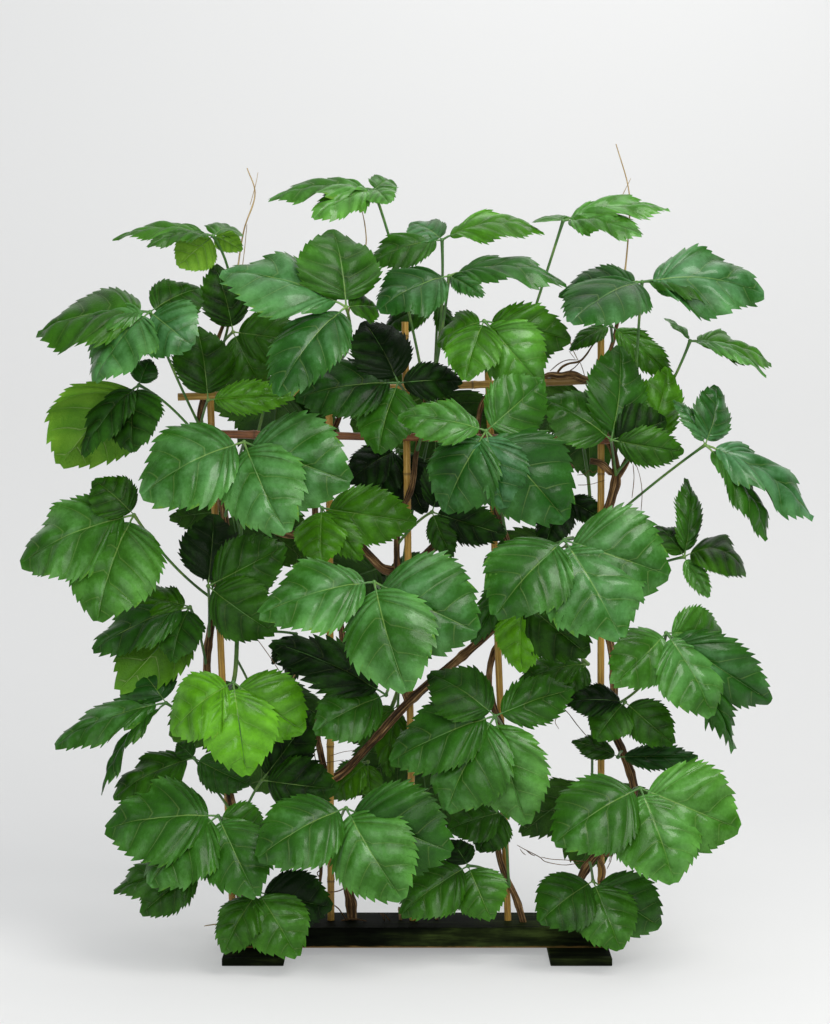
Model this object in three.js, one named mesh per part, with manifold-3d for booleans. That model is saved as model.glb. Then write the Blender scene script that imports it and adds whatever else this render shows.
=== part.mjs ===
// A tetrastigma vine trained up a bamboo trellis that stands in a stained wooden base board.
// Millimetres, +Z up. X runs along the base board and the front of the plant faces -Y.
// The origin is on the floor, under the middle of the whole plant.
import * as THREE from 'three';
import { mergeVertices } from 'three/addons/utils/BufferGeometryUtils.js';
import Module from 'manifold-3d';

const wasm = await Module();
wasm.setup();

// Driving sizes, in millimetres.
const baseBoard = { length: 600, depth: 100, thickness: 32 };
const foot = { width: 95, length: 224, thickness: 12 };
const cane = { radius: 5.5, ringRadius: 6.4, ringSpacing: 215, ringLength: 7, sides: 6, sunk: 26 };
const rail = { radius: 5, ringRadius: 5.8, ringSpacing: 190, out: 10.2 };
const vine = { sides: 6, step: 60, sunk: 22 };
const petiole = { radius: 2.3, rootRadius: 3, sides: 3, steps: 4, hubRadius: 4.2 };
const gap = 0.3;
const scrapShare = 0.03;
const leastDetail = 0.2;

// One leaflet, as shares of its length or of its half width. The shingle, by which one edge lies
// deeper than the other, is in degrees; the stalk's half width, the rib's thickness and smallLength
// are in millimetres. A leaflet shorter than smallLength has the fewer teeth of smallTeeth.
const leaflet = {
  shingle: 16,
  arch: 0.09,
  cup: 0.14,
  stalk: 0.08,
  stalkHalfWidth: 2.4,
  baseFullness: 0.85,
  roundness: [0.6, 0.78],
  ribThickness: [3.2, 2],
  ribStations: [0.08, 0.5],
  smallLength: 125,
  smoothMargin: [0.1],
  teeth: [0.36, 0.58, 0.8],
  smallTeeth: [0.4, 0.7],
  toothDrop: 0.07,
  toothOut: 1.07,
  toothIn: 0.93,
};

// The layout is given as it is seen by someone standing in front of the plant, in pixels of an
// 830 x 1024 frame, with a distance out from the trellis towards the viewer in millimetres.
const viewer = { distance: 3500, height: 920, lookDown: THREE.MathUtils.degToRad(3.73), focal: 2240 };
const frameCentre = { x: 417, y: 512 };

const colours = {
  board: 0x1c2114,
  cane: 0xb58a45,
  vine: 0x5a3d26,
  leaf: 0x2f6b33,
  brightLeaf: 0x6fae2a,
};

const up = new THREE.Vector3(0, 0, 1);

// The ray of the viewer's sight through a pixel, per millimetre straight ahead.
function sightLine(x, y) {
  const ahead = new THREE.Vector3(0, Math.cos(viewer.lookDown), -Math.sin(viewer.lookDown));
  const above = new THREE.Vector3(0, Math.sin(viewer.lookDown), Math.cos(viewer.lookDown));
  const ray = ahead.addScaledVector(above, (frameCentre.y - y) / viewer.focal);
  ray.x = (x - frameCentre.x) / viewer.focal;
  return ray;
}

const eye = new THREE.Vector3(0, -viewer.distance, viewer.height);

// The point seen at a pixel, that far out from the trellis plane.
function seen(x, y, out) {
  const ray = sightLine(x, y);
  return eye.clone().addScaledVector(ray, (viewer.distance - out) / ray.y);
}

// The point seen at a pixel, on a plane through a point.
function seenOnPlane(x, y, point, normal) {
  const ray = sightLine(x, y);
  const reach = point.clone().sub(eye).dot(normal) / ray.dot(normal);
  return eye.clone().addScaledVector(ray, reach);
}

function solidOf(geometry) {
  const bare = new THREE.BufferGeometry();
  bare.setAttribute('position', geometry.getAttribute('position').clone());
  if (geometry.index) bare.setIndex(geometry.index.clone());
  const merged = mergeVertices(bare, 1e-4);
  return new wasm.Manifold(new wasm.Mesh({
    numProp: 3,
    vertProperties: new Float32Array(merged.attributes.position.array),
    triVerts: new Uint32Array(merged.index.array),
  }));
}

function geometryOf(solid) {
  const made = solid.getMesh();
  const geometry = new THREE.BufferGeometry();
  geometry.setAttribute('position', new THREE.BufferAttribute(new Float32Array(made.vertProperties), 3));
  geometry.setIndex(new THREE.BufferAttribute(new Uint32Array(made.triVerts), 1));
  geometry.computeVertexNormals();
  return geometry;
}

// The largest body of a solid: a cut can leave a small scrap, which is dropped.
function largestBody(solid, name) {
  const bodies = solid.decompose().sort((a, b) => b.volume() - a.volume());
  const lost = bodies.slice(1).reduce((sum, body) => sum + body.volume(), 0);
  if (lost > scrapShare * bodies[0].volume()) {
    console.warn(`${name} loses ${(lost / bodies[0].volume() * 100).toFixed(1)} % as loose pieces`);
  }
  return bodies[0];
}

function joined(solids) {
  return wasm.Manifold.union(solids);
}

// A closed tube along a curve. radiusAt gives the radius at a share of the length.
function tube(curve, radiusAt, sides, steps) {
  const frames = curve.computeFrenetFrames(steps, false);
  const positions = [];
  const index = [];
  for (let i = 0; i <= steps; i += 1) {
    const centre = curve.getPointAt(i / steps);
    for (let k = 0; k < sides; k += 1) {
      const turn = (k / sides) * Math.PI * 2;
      const spoke = frames.normals[i].clone().multiplyScalar(Math.cos(turn))
        .addScaledVector(frames.binormals[i], Math.sin(turn));
      positions.push(...centre.clone().addScaledVector(spoke, radiusAt(i / steps)));
    }
  }
  const firstCap = positions.length / 3;
  positions.push(...curve.getPointAt(0), ...curve.getPointAt(1));
  for (let k = 0; k < sides; k += 1) {
    const next = (k + 1) % sides;
    for (let i = 0; i < steps; i += 1) {
      const a = i * sides;
      const b = a + sides;
      index.push(a + k, a + next, b + next, a + k, b + next, b + k);
    }
    const last = steps * sides;
    index.push(firstCap, next, k, firstCap + 1, last + k, last + next);
  }
  const geometry = new THREE.BufferGeometry();
  geometry.setAttribute('position', new THREE.Float32BufferAttribute(positions, 3));
  geometry.setIndex(index);
  return solidOf(geometry);
}

// A bamboo stick between two points, with a raised ring at each of its joints.
function bamboo(from, to, size, grow = 0) {
  const length = from.distanceTo(to);
  const profile = [new THREE.Vector2(0, -grow), new THREE.Vector2(size.radius + grow, -grow)];
  for (let at = size.ringSpacing * 0.4; at < length - cane.ringLength; at += size.ringSpacing) {
    profile.push(new THREE.Vector2(size.radius + grow, at));
    profile.push(new THREE.Vector2(size.ringRadius + grow, at + cane.ringLength / 2));
    profile.push(new THREE.Vector2(size.radius + grow, at + cane.ringLength));
  }
  profile.push(new THREE.Vector2(size.radius + grow, length + grow), new THREE.Vector2(0, length + grow));
  const geometry = new THREE.LatheGeometry(profile, cane.sides);
  const direction = to.clone().sub(from).normalize();
  geometry.applyQuaternion(new THREE.Quaternion().setFromUnitVectors(new THREE.Vector3(0, 1, 0), direction));
  geometry.translate(from.x, from.y, from.z);
  return solidOf(geometry);
}

const boardTop = foot.thickness + baseBoard.thickness;

// The upright canes: where each leaves the base board and where it ends, in pixels.
const canePlaces = [
  { name: 'cane_far_left', bottom: [233, 921], top: [208, 352] },
  { name: 'cane_left', bottom: [331, 921], top: [329, 366] },
  { name: 'cane_middle', bottom: [413, 921], top: [405, 322] },
  { name: 'cane_right', bottom: [508, 921], top: [487, 340] },
  { name: 'cane_far_right', bottom: [601, 921], top: [601, 332] },
];

// The crossbars of the trellis, in front of the canes.
const railPlaces = [
  { name: 'rail_upper', left: [178, 397], right: [596, 380] },
  { name: 'rail_lower', left: [204, 434], right: [612, 440] },
];

// Woody stems. Each line of a path is a pixel, a distance out and a radius.
const vinePlaces = {
  vine_left: [
    [
      [244, 922, 4, 8], [240, 880, 6, 7.5], [231, 800, 14, 7], [221, 760, 6, 6.5], [212, 720, -12, 6.5],
      [207, 670, -16, 6.5], [209, 640, -14, 6], [218, 590, 13, 6], [226, 545, 16, 6], [222, 500, 14, 6],
      [214, 470, 4, 5.5], [204, 440, -12, 5.5], [200, 415, -16, 5], [206, 390, -16, 4.5],
      [216, 345, -10, 3.5], [232, 300, -6, 2.4], [244, 230, 0, 2], [255, 193, 2, 1.8], [247, 168, 4, 1.3],
    ],
    [
      [222, 498, 14, 5.5], [250, 515, -4, 6], [280, 532, -18, 6.5], [322, 537, -22, 6.5],
      [352, 538, -16, 6.5], [369, 555, -8, 6.5], [387, 570, -18, 6.5], [414, 563, -26, 6.5],
      [440, 542, -28, 7], [457, 530, -30, 6.5], [486, 519, -26, 6], [515, 509, -18, 5.5],
      [545, 490, -8, 5.5], [572, 465, 2, 6],
    ],
  ],
  vine_middle: [
    [
      [352, 922, -8, 8.5], [351, 902, -6, 8], [345, 880, 0, 6.5], [338, 860, 12, 6.5],
      [331, 845, 15, 6.5], [324, 822, 12, 6], [321, 800, 2, 6], [325, 778, -10, 6], [321, 755, -10, 5],
      [317, 732, -4, 5], [323, 705, 8, 5], [338, 680, 14, 5], [344, 655, 6, 5], [341, 625, -8, 5],
      [334, 590, -14, 5], [320, 570, -6, 5], [315, 510, 2, 5], [318, 470, -11, 4.8], [326, 444, -16, 4.5],
      [338, 420, -15, 4.3], [344, 392, -13, 4], [340, 360, -12, 3.8],
    ],
    [
      [325, 784, -8, 6], [345, 771, -12, 6.5], [363, 752, 0, 6.5], [378, 736, 8, 6.5], [396, 715, 14, 7],
      [414, 697, 17, 7], [433, 680, 14, 7], [453, 664, 8, 7], [475, 645, 6, 7], [492, 629, 14, 7],
      [514, 606, 18, 6.5], [540, 592, 8, 6], [560, 580, 4, 5.5], [576, 560, 2, 5],
    ],
    [
      [408, 703, 16, 5.5], [400, 672, 6, 5], [398, 640, -2, 5], [399, 600, -4, 5], [397, 560, 3, 4.8],
      [399, 520, 6, 4.8], [412, 486, 16, 4.5], [416, 455, 14, 4.2], [422, 425, -8, 4],
      [426, 396, -10, 3.5],
    ],
  ],
  vine_right: [
    [
      [527, 922, 10, 5.5], [516, 898, 10, 5], [504, 872, 12, 5], [498, 848, 2, 5], [501, 818, -14, 5],
      [514, 795, -12, 5], [518, 770, 2, 5], [510, 742, 14, 5.5], [496, 714, 14, 5.5], [489, 685, 0, 5],
      [493, 655, -14, 5], [510, 625, -14, 5], [517, 590, -6, 5], [512, 555, 12, 5], [500, 520, 14, 4.5],
      [486, 480, 8, 4.5], [478, 445, -8, 4], [482, 405, -16, 4], [500, 380, -14, 4], [520, 355, -8, 3.5],
    ],
  ],
  vine_far_right: [
    [
      [571, 922, 4, 7], [575, 895, 6, 6.5], [585, 870, 12, 6.5], [599, 852, 16, 6.5], [614, 840, 8, 6.5],
      [622, 815, 2, 6.5], [634, 792, 2, 6.5], [631, 774, 2, 6.5], [622, 750, 0, 6.5], [614, 730, -4, 6.5],
      [614, 700, -8, 6.5], [613, 660, -12, 6.5], [606, 625, -15, 6.5], [598, 590, -10, 6.5],
      [594, 560, 4, 6.5], [602, 530, 15, 7], [611, 500, 12, 7.5], [616, 478, 4, 7], [614, 455, -4, 5.5],
      [604, 430, -15, 5], [596, 405, -14, 4.5], [598, 380, -14, 4], [612, 345, -10, 3.4],
      [621, 300, -4, 2.6], [628, 240, 0, 2.1], [629, 192, 2, 1.8], [616, 144, 4, 1.3],
    ],
    [[614, 482, 4, 6], [622, 470, 2, 5.5], [629, 456, 2, 5], [634, 440, 0, 4]],
    [[612, 474, 4, 5.5], [600, 463, 16, 5], [590, 461, 18, 5]],
  ],
};

// Every leaf: the pixel of its hub and how far out that lies, the way the leaf faces, as degrees to
// the viewer's right and degrees up, and the pixel on the woody stems that its petiole grows from.
// Each leaflet has the pixel of its tip, its width over its length, how far its tip lies in front
// of the hub (null, or left out, where it lies in the plane of the leaf), its turn on its own rib
// in degrees and how high it arches as a share of its length. Twins are smaller leaves whose
// petioles grow from the petiole of the leaf.
const leaves = [
  {
    name: 'leaf_01', hub: [213, 236], out: 60, face: [-8, 70],
    root: [206, 388], via: [252, 292, -46], bright: true,
    leaflets: [
      [113, 239, 0.46, 5, -14], [147, 246, 0.4, 60, -20], [234, 228, 0.8, -70], [178, 266, 0.95, -20, 70],
      [242, 250, 0.8, -20, -80],
    ],
  },
  {
    name: 'leaf_02', hub: [150, 312], out: 120, face: [-15, 38], root: [202, 428], via: [172, 372, 95],
    leaflets: [
      [38, 331, 0.85, -44], [68, 336, 0.5, 4], [95, 381, 0.98, 45], [192, 346, 1.1, 36],
      [200, 288, 0.8, -62],
    ],
  },
  {
    name: 'leaf_03', hub: [139, 385], out: 90, face: [-20, 25], root: [206, 450],
    leaflets: [[60, 464, 0.9, -40, 96], [82, 455, 0.55, 32], [133, 452, 0.95, 44], [150, 359, 1, -12]],
  },
  {
    name: 'leaf_04', hub: [346, 307], out: 190, face: [0, 32], root: [340, 361], via: [358, 345, 90],
    leaflets: [[222, 270, 0.7], [333, 229, 1, -50], [276, 394, 0.66], [378, 308, 0.7, -60]],
  },
  {
    name: 'leaf_05', hub: [374, 190], out: 40, face: [6, 66],
    root: [426, 396], via: [404, 275, -30], bright: true,
    leaflets: [
      [270, 199, 0.5, 10, -16], [313, 218, 0.6, 60, -26], [391, 180, 0.7, -60], [389, 203, 0.7, 60],
    ],
  },
  {
    name: 'leaf_06', hub: [449, 276], out: 110, face: [5, 34], root: [416, 452], via: [437, 385, 48],
    leaflets: [[378, 309, 0.92], [483, 296, 0.42, 55], [566, 284, 0.5, 0, -44, 0.14]],
  },
  {
    name: 'leaf_07', hub: [442, 240], out: 50, face: [0, 55],
    root: [422, 424], via: [446, 345, 0], bright: true,
    leaflets: [[411, 222, 1.2, -30, -16], [543, 232, 0.58, -10, -22, 0.15], [368, 263, 0.62, 14, -26]],
  },
  {
    name: 'leaf_08', hub: [484, 321], out: 150, face: [0, 24], root: [510, 368], bright: true,
    leaflets: [[465, 380, 0.85], [540, 384, 0.8, 2], [571, 340, 0.6, -30], [437, 343, 0.85, -40]],
  },
  {
    name: 'leaf_09', hub: [642, 282], out: 170, face: [8, 46], root: [634, 441], via: [636, 350, 70],
    leaflets: [
      [570, 322, 0.9], [764, 293, 0.66, -20, -6, 0.13], [731, 308, 0.5, 30], [559, 294, 0.66, -50, -20],
    ],
  },
  {
    name: 'leaf_10', hub: [563, 221], out: 50, face: [5, 79],
    root: [520, 355], via: [541, 290, 10], bright: true,
    leaflets: [[668, 208, 0.44, -15], [541, 219, 1.1, -50, -20], [641, 233, 0.64, 50]],
  },
  {
    name: 'leaf_11', hub: [690, 341], out: 60, face: [15, 72],
    root: [627, 462], via: [672, 390, 20], bright: true,
    leaflets: [[665, 318, 0.55, -30], [766, 375, 0.42, 10, -20], [771, 363, 0.55, -60]],
  },
  {
    name: 'leaf_12', hub: [611, 440], out: 110, face: [6, 12], root: [616, 478],
    leaflets: [[620, 346, 0.68], [666, 420, 0.9], [546, 399, 0.82], [684, 452, 0.55, -15]],
    twins: [
      {
        hub: [646, 446], out: 58, face: [6, 20], root: [617, 474],
        leaflets: [[668, 368, 0.66, 0]],
      },
    ],
  },
  {
    name: 'leaf_13', hub: [705, 445], out: 90, face: [20, 20], root: [602, 528], via: [658, 478, 10],
    leaflets: [[717, 386, 0.74], [674, 400, 0.42], [768, 539, 0.56, 10, -50], [814, 516, 0.52, -20, -46]],
  },
  {
    name: 'leaf_14', hub: [684, 557], out: 60, face: [15, 20], root: [600, 600],
    leaflets: [[687, 479, 0.4], [746, 573, 1.2, 10, -56, 0.3], [709, 597, 0.46, 25], [657, 525, 0.95, -30]],
  },
  {
    name: 'leaf_15', hub: [564, 540], out: 210, face: [4, 22], root: [586, 553],
    leaflets: [[669, 575, 0.98], [620, 637, 0.96, null, -16], [495, 615, 0.88]],
    twins: [
      {
        hub: [524, 566], out: 60, face: [0, 16], root: [560, 548],
        leaflets: [[473, 642, 0.38], [484, 560, 0.7]],
      },
    ],
  },
  {
    name: 'leaf_16', hub: [486, 431], out: 215, face: [0, 20], root: [505, 535],
    leaflets: [
      [543, 380, 0.8], [398, 416, 0.56], [444, 512, 0.86, -10], [504, 508, 0.9, 8],
      [566, 521, 0.76, -12, -10],
    ],
  },
  {
    name: 'leaf_17', hub: [244, 442], out: 200, face: [-4, 22], root: [222, 520],
    leaflets: [[140, 494, 0.94], [286, 533, 0.84], [350, 482, 0.88]],
  },
  {
    name: 'leaf_18', hub: [134, 515], out: 140, face: [-16, 26], root: [218, 600], via: [172, 572, 80],
    leaflets: [[20, 562, 0.76, null, -8], [97, 621, 0.92, null, -12], [94, 480, 0.9, -20]],
  },
  {
    name: 'leaf_19', hub: [208, 586], out: 110, face: [-4, 16], root: [209, 640],
    leaflets: [[214, 514, 0.9], [285, 546, 0.7], [274, 633, 0.8]],
  },
  {
    name: 'leaf_20', hub: [190, 607], out: 60, face: [-10, 26], root: [207, 670],
    leaflets: [[93, 650, 0.55], [120, 690, 0.66, 0, 150], [172, 661, 0.9, 35], [126, 598, 0.55, -30]],
  },
  {
    name: 'leaf_21', hub: [233, 682], out: 190, face: [0, 26], root: [215, 740], bright: true,
    leaflets: [[171, 732, 0.92, -20], [246, 775, 0.8, 12, -20], [304, 732, 0.86, -20]],
  },
  {
    name: 'leaf_22', hub: [166, 703], out: 70, face: [-12, 24], root: [221, 760],
    leaflets: [[55, 746, 0.44, null, 10], [101, 795, 0.34, null, 40], [135, 664, 0.95, -45]],
  },
  {
    name: 'leaf_23', hub: [194, 758], out: 90, face: [-8, 22], root: [232, 815], via: [206, 775, 50],
    leaflets: [[113, 798, 0.68, null, 14], [177, 743, 0.9], [250, 785, 0.62, -50]],
  },
  {
    name: 'leaf_24', hub: [218, 816], out: 170, face: [-6, 26], root: [238, 868],
    leaflets: [[106, 828, 0.84], [148, 884, 0.92], [256, 896, 0.8, null, -14], [266, 828, 0.75, -30]],
    twins: [
      {
        hub: [200, 868], out: 92, face: [-10, 24], root: [226, 862],
        leaflets: [[114, 891, 0.46], [141, 914, 0.62, 20, -20]],
      },
    ],
  },
  {
    name: 'leaf_25', hub: [258, 892], out: 150, face: [0, 24], root: [242, 902],
    leaflets: [[223, 953, 0.74], [297, 956, 0.86, null, -20], [332, 907, 0.8, -20]],
  },
  {
    name: 'leaf_26', hub: [346, 808], out: 200, face: [0, 24], root: [334, 850],
    leaflets: [[257, 857, 0.82, 46], [402, 900, 0.84], [451, 852, 0.88]],
  },
  {
    name: 'leaf_27', hub: [468, 866], out: 120, face: [0, 22], root: [510, 885],
    leaflets: [[401, 914, 0.76], [491, 919, 1, null, -10], [450, 840, 0.95, -30]],
    twins: [
      {
        hub: [504, 812], out: 70, face: [0, 18], root: [506, 884],
        leaflets: [[449, 829, 0.86], [478, 851, 1]],
      },
    ],
  },
  {
    name: 'leaf_28', hub: [495, 716], out: 200, face: [0, 22], root: [518, 770],
    leaflets: [
      [430, 673, 0.8, -40], [573, 689, 0.6, -40, -20], [390, 762, 0.66, -15], [446, 810, 0.88, 10],
      [526, 824, 0.7, -5],
    ],
  },
  {
    name: 'leaf_29', hub: [640, 788], out: 190, face: [6, 24], root: [622, 815],
    leaflets: [[554, 842, 0.84], [674, 883, 0.92, null, -16], [739, 829, 0.9]],
  },
  {
    name: 'leaf_30', hub: [593, 881], out: 150, face: [2, 24], root: [590, 864],
    leaflets: [[539, 922, 0.95], [620, 950, 0.86, null, -14], [660, 927, 0.85, -5]],
  },
  {
    name: 'leaf_31', hub: [666, 633], out: 130, face: [14, 20], root: [614, 705], via: [660, 682, 60],
    leaflets: [
      [712, 716, 0.8, null, -22], [614, 684, 0.8, null, -20], [771, 702, 0.46, -24, -30],
      [734, 749, 0.2, -40, -20], [722, 632, 0.75, -60],
    ],
  },
  {
    name: 'leaf_32', hub: [522, 600], out: 108, face: [0, 20], root: [508, 628], bright: true,
    leaflets: [[522, 672, 0.72, 5], [588, 655, 0.74]],
    twins: [
      {
        hub: [588, 664], out: 40, face: [0, 26], root: [520, 606],
        leaflets: [[520, 680, 0.6], [552, 700, 0.8]],
      },
    ],
  },
  {
    name: 'leaf_33', hub: [625, 702], out: 110, face: [0, 24], root: [616, 735],
    leaflets: [[596, 739, 1], [673, 744, 0.7], [564, 702, 0.6, -20]],
  },
  {
    name: 'leaf_34', hub: [374, 582], out: 230, face: [0, 22], root: [398, 640],
    leaflets: [[260, 613, 0.7], [406, 692, 0.82], [477, 632, 0.94]],
  },
  {
    name: 'leaf_35', hub: [398, 383], out: 88, face: [0, 18], root: [422, 425],
    leaflets: [[364, 321, 0.9], [296, 398, 0.66], [378, 453, 0.85], [462, 381, 0.6, -20, -16]],
  },
  {
    name: 'leaf_36', hub: [322, 508], out: 90, face: [0, 18], root: [320, 560], bright: true,
    leaflets: [[416, 522, 0.64], [322, 563, 1], [362, 560, 0.5]],
  },
  {
    name: 'leaf_37', hub: [386, 695], out: 150, face: [0, 20], root: [400, 672],
    leaflets: [[314, 731, 0.82], [272, 642, 0.46, -30]],
  },
  {
    name: 'leaf_38', hub: [208, 400], out: 62, face: [0, 28], root: [202, 422],
    leaflets: [[293, 396, 0.42], [197, 327, 0.8, -34]],
  },
  {
    name: 'leaf_39', hub: [233, 332], out: 24, face: [0, 20], root: [212, 358],
    leaflets: [[215, 265, 0.76, -4], [305, 342, 0.7], [262, 386, 0.8, -16]],
  },
  {
    name: 'leaf_40', hub: [262, 780], out: 60, face: [0, 20], root: [234, 830],
    leaflets: [[338, 789, 0.74], [312, 712, 0.65]],
  },
  {
    name: 'leaf_41', hub: [618, 757], out: 50, face: [0, 30], root: [622, 750],
    leaflets: [[572, 741, 0.6], [698, 757, 0.32]],
  },
  {
    name: 'leaf_42', hub: [432, 512], out: 60, face: [0, 18], root: [399, 545],
    leaflets: [[506, 535, 0.56], [447, 452, 0.6], [452, 557, 0.6, 14]],
  },
  {
    name: 'leaf_43', hub: [611, 326], out: 26, face: [6, 40], root: [613, 342],
    leaflets: [[673, 379, 0.42, 2], [570, 350, 0.55, 10]],
  },
];

// Green shoots at the back: each is a stem that carries some leaves. Those that face the viewer
// show in the gaps between the leaves in front, and the others only from behind.
// The path of a stem has pixels and distances out; the leaves are given as above.
const shoots = [
  {
    name: 'shoot_left',
    root: [210, 696],
    path: [[230, 690, -46], [238, 620, -64], [244, 500, -66], [268, 392, -62]],
    leaves: [
      {
        hub: [276, 376], out: -118, face: [158, 34], root: [266, 400],
        leaflets: [[200, 398, 0.78], [262, 470, 0.8], [340, 432, 0.7]],
      },
      {
        hub: [232, 510], out: -140, face: [204, 16], root: [242, 540],
        leaflets: [[170, 518, 0.52], [248, 606, 0.76], [306, 560, 0.74]],
      },
      {
        hub: [252, 690], out: -125, face: [176, 26], root: [233, 664],
        leaflets: [[172, 738, 0.74], [262, 792, 0.8], [330, 722, 0.78]],
      },
      {
        hub: [296, 634], out: -24, face: [0, 24], root: [238, 640],
        leaflets: [[272, 664, 0.5], [292, 682, 0.5, -10]],
      },
    ],
  },
  {
    name: 'shoot_middle',
    root: [325, 780],
    path: [[350, 772, -50], [398, 690, -66], [404, 560, -70], [432, 420, -64]],
    leaves: [
      {
        hub: [368, 762], out: -26, face: [0, 24], root: [352, 772],
        leaflets: [[332, 798, 0.7, -12], [372, 800, 0.7, -6]],
      },
      {
        hub: [436, 392], out: -130, face: [184, 20], root: [432, 420],
        leaflets: [[352, 428, 0.8], [432, 494, 0.78], [496, 446, 0.76]],
      },
      {
        hub: [384, 566], out: -150, face: [164, 34], root: [403, 600],
        leaflets: [[304, 600, 0.76], [390, 660, 0.84], [468, 592, 0.78]],
      },
      {
        hub: [418, 738], out: -116, face: [200, 20], root: [378, 730],
        leaflets: [[350, 792, 0.74], [432, 836, 0.8], [500, 770, 0.76]],
      },
      {
        hub: [398, 450], out: -42, face: [0, 20], root: [424, 462],
        leaflets: [[347, 482, 0.78], [374, 508, 0.6], [424, 513, 0.7, -16]],
      },
      {
        hub: [438, 302], out: -46, face: [0, 30], root: [432, 420], via: [436, 350, -56],
        leaflets: [[384, 330, 0.7, -4], [452, 342, 0.4]],
      },
      {
        hub: [398, 706], out: -40, face: [0, 22], root: [396, 694],
        leaflets: [[388, 776, 0.46], [352, 742, 0.5, -10]],
      },
    ],
  },
  {
    name: 'shoot_right',
    root: [616, 736],
    path: [[594, 716, -40], [582, 640, -62], [590, 500, -66], [574, 396, -62]],
    leaves: [
      {
        hub: [586, 392], out: -125, face: [186, 22], root: [575, 410],
        leaflets: [[516, 420, 0.7], [590, 476, 0.76], [654, 414, 0.7]],
      },
      {
        hub: [566, 546], out: -136, face: [158, 28], root: [588, 566],
        leaflets: [[488, 586, 0.76], [570, 640, 0.84], [648, 572, 0.78]],
      },
      {
        hub: [592, 784], out: -90, face: [182, 26], root: [592, 714],
        leaflets: [[521, 833, 0.6], [584, 868, 0.74], [664, 840, 0.72]],
      },
      {
        hub: [566, 498], out: -30, face: [0, 22], root: [587, 530],
        leaflets: [[544, 548, 0.7], [604, 520, 0.6]],
      },
    ],
  },
];

// A unit vector that faces the viewer, turned right and up by degrees.
function facing([right, upward]) {
  const yaw = THREE.MathUtils.degToRad(right);
  const pitch = THREE.MathUtils.degToRad(upward);
  return new THREE.Vector3(
    Math.sin(yaw) * Math.cos(pitch), -Math.cos(yaw) * Math.cos(pitch), Math.sin(pitch));
}

// Half the width of a leaflet at a share of its blade, over half its greatest width.
function fullness(share) {
  const [atBase, atTip] = leaflet.roundness;
  return Math.sin(Math.PI * share ** leaflet.baseFullness) ** THREE.MathUtils.lerp(atBase, atTip, share);
}

// A leaflet is a thin lens: both faces meet in the toothed edge and are thickest at the rib.
function blade(hub, tip, normal, ratio, turn = 0, arch = leaflet.arch) {
  const length = hub.distanceTo(tip);
  const along = tip.clone().sub(hub).normalize();
  const face = normal.clone().addScaledVector(along, -normal.dot(along)).normalize()
    .applyAxisAngle(along, THREE.MathUtils.degToRad(turn + leaflet.shingle));
  const side = along.clone().cross(face);
  const halfWidth = (ratio * length) / 2;
  const rib = (share) => hub.clone().addScaledVector(along, length * share)
    .addScaledVector(face, arch * length * 4 * share * (1 - share));
  const edge = (share, out, hand) => rib(share).addScaledVector(side, hand * out)
    .addScaledVector(face, -leaflet.cup * out);
  const edgeStations = [{ share: leaflet.stalk, out: leaflet.stalkHalfWidth }];
  const addEdge = (bladeShare, factor) => edgeStations.push({
    share: leaflet.stalk + (1 - leaflet.stalk) * bladeShare,
    out: halfWidth * fullness(bladeShare) * factor,
  });
  leaflet.smoothMargin.forEach((share) => addEdge(share, 1));
  const teeth = length < leaflet.smallLength ? leaflet.smallTeeth : leaflet.teeth;
  teeth.forEach((share) => {
    addEdge(share, leaflet.toothOut);
    addEdge(share + leaflet.toothDrop, leaflet.toothIn);
  });

  const points = [hub, tip];
  const upperRib = [{ share: 0, at: 0 }];
  const lowerRib = [{ share: 0, at: 0 }];
  leaflet.ribStations.forEach((share, i) => {
    const lift = leaflet.ribThickness[i] / 2;
    upperRib.push({ share, at: points.push(rib(share).addScaledVector(face, lift)) - 1 });
    lowerRib.push({ share, at: points.push(rib(share).addScaledVector(face, -lift)) - 1 });
  });
  upperRib.push({ share: 1, at: 1 });
  lowerRib.push({ share: 1, at: 1 });
  const index = [];
  [1, -1].forEach((hand) => {
    const margin = [{ share: 0, at: 0 }];
    edgeStations.forEach(({ share, out }) => {
      margin.push({ share, at: points.push(edge(share, out, hand)) - 1 });
    });
    margin.push({ share: 1, at: 1 });
    [[upperRib, hand], [lowerRib, -hand]].forEach(([ribLine, winding]) => {
      let i = 0;
      let j = 0;
      while (i < ribLine.length - 1 || j < margin.length - 1) {
        const ribNext = i < ribLine.length - 1 ? ribLine[i + 1].share : 2;
        const edgeNext = j < margin.length - 1 ? margin[j + 1].share : 2;
        const onRib = ribNext < edgeNext;
        const corners = [ribLine[i].at, margin[j].at, onRib ? ribLine[i + 1].at : margin[j + 1].at];
        if (new Set(corners).size === 3) index.push(...(winding > 0 ? corners : corners.reverse()));
        if (onRib) i += 1;
        else j += 1;
      }
    });
  });
  const geometry = new THREE.BufferGeometry();
  geometry.setAttribute('position', new THREE.Float32BufferAttribute(points.flatMap((p) => [...p]), 3));
  geometry.setIndex(index);
  return solidOf(geometry);
}

const vineCurves = Object.entries(vinePlaces).flatMap(([name, paths]) => paths.map((path) => {
  const points = path.map(([x, y, out]) => seen(x, y, out));
  if (path[0][1] > frameCentre.y + 400) points[0].z = boardTop - vine.sunk;
  return { name, curve: new THREE.CatmullRomCurve3(points, false, 'centripetal'), path };
}));

// The radius of a woody stem at a share of its length, from the radii of its path.
function vineRadius({ curve, path }, grow) {
  const lengths = curve.points.map((point, i) => (i ? point.distanceTo(curve.points[i - 1]) : 0));
  const total = lengths.reduce((sum, length) => sum + length, 0);
  return (share) => {
    let left = share * total;
    let i = 1;
    while (i < lengths.length - 1 && left > lengths[i]) {
      left -= lengths[i];
      i += 1;
    }
    return THREE.MathUtils.lerp(path[i - 1][3], path[i][3], Math.min(1, left / lengths[i])) + grow;
  };
}

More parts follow.
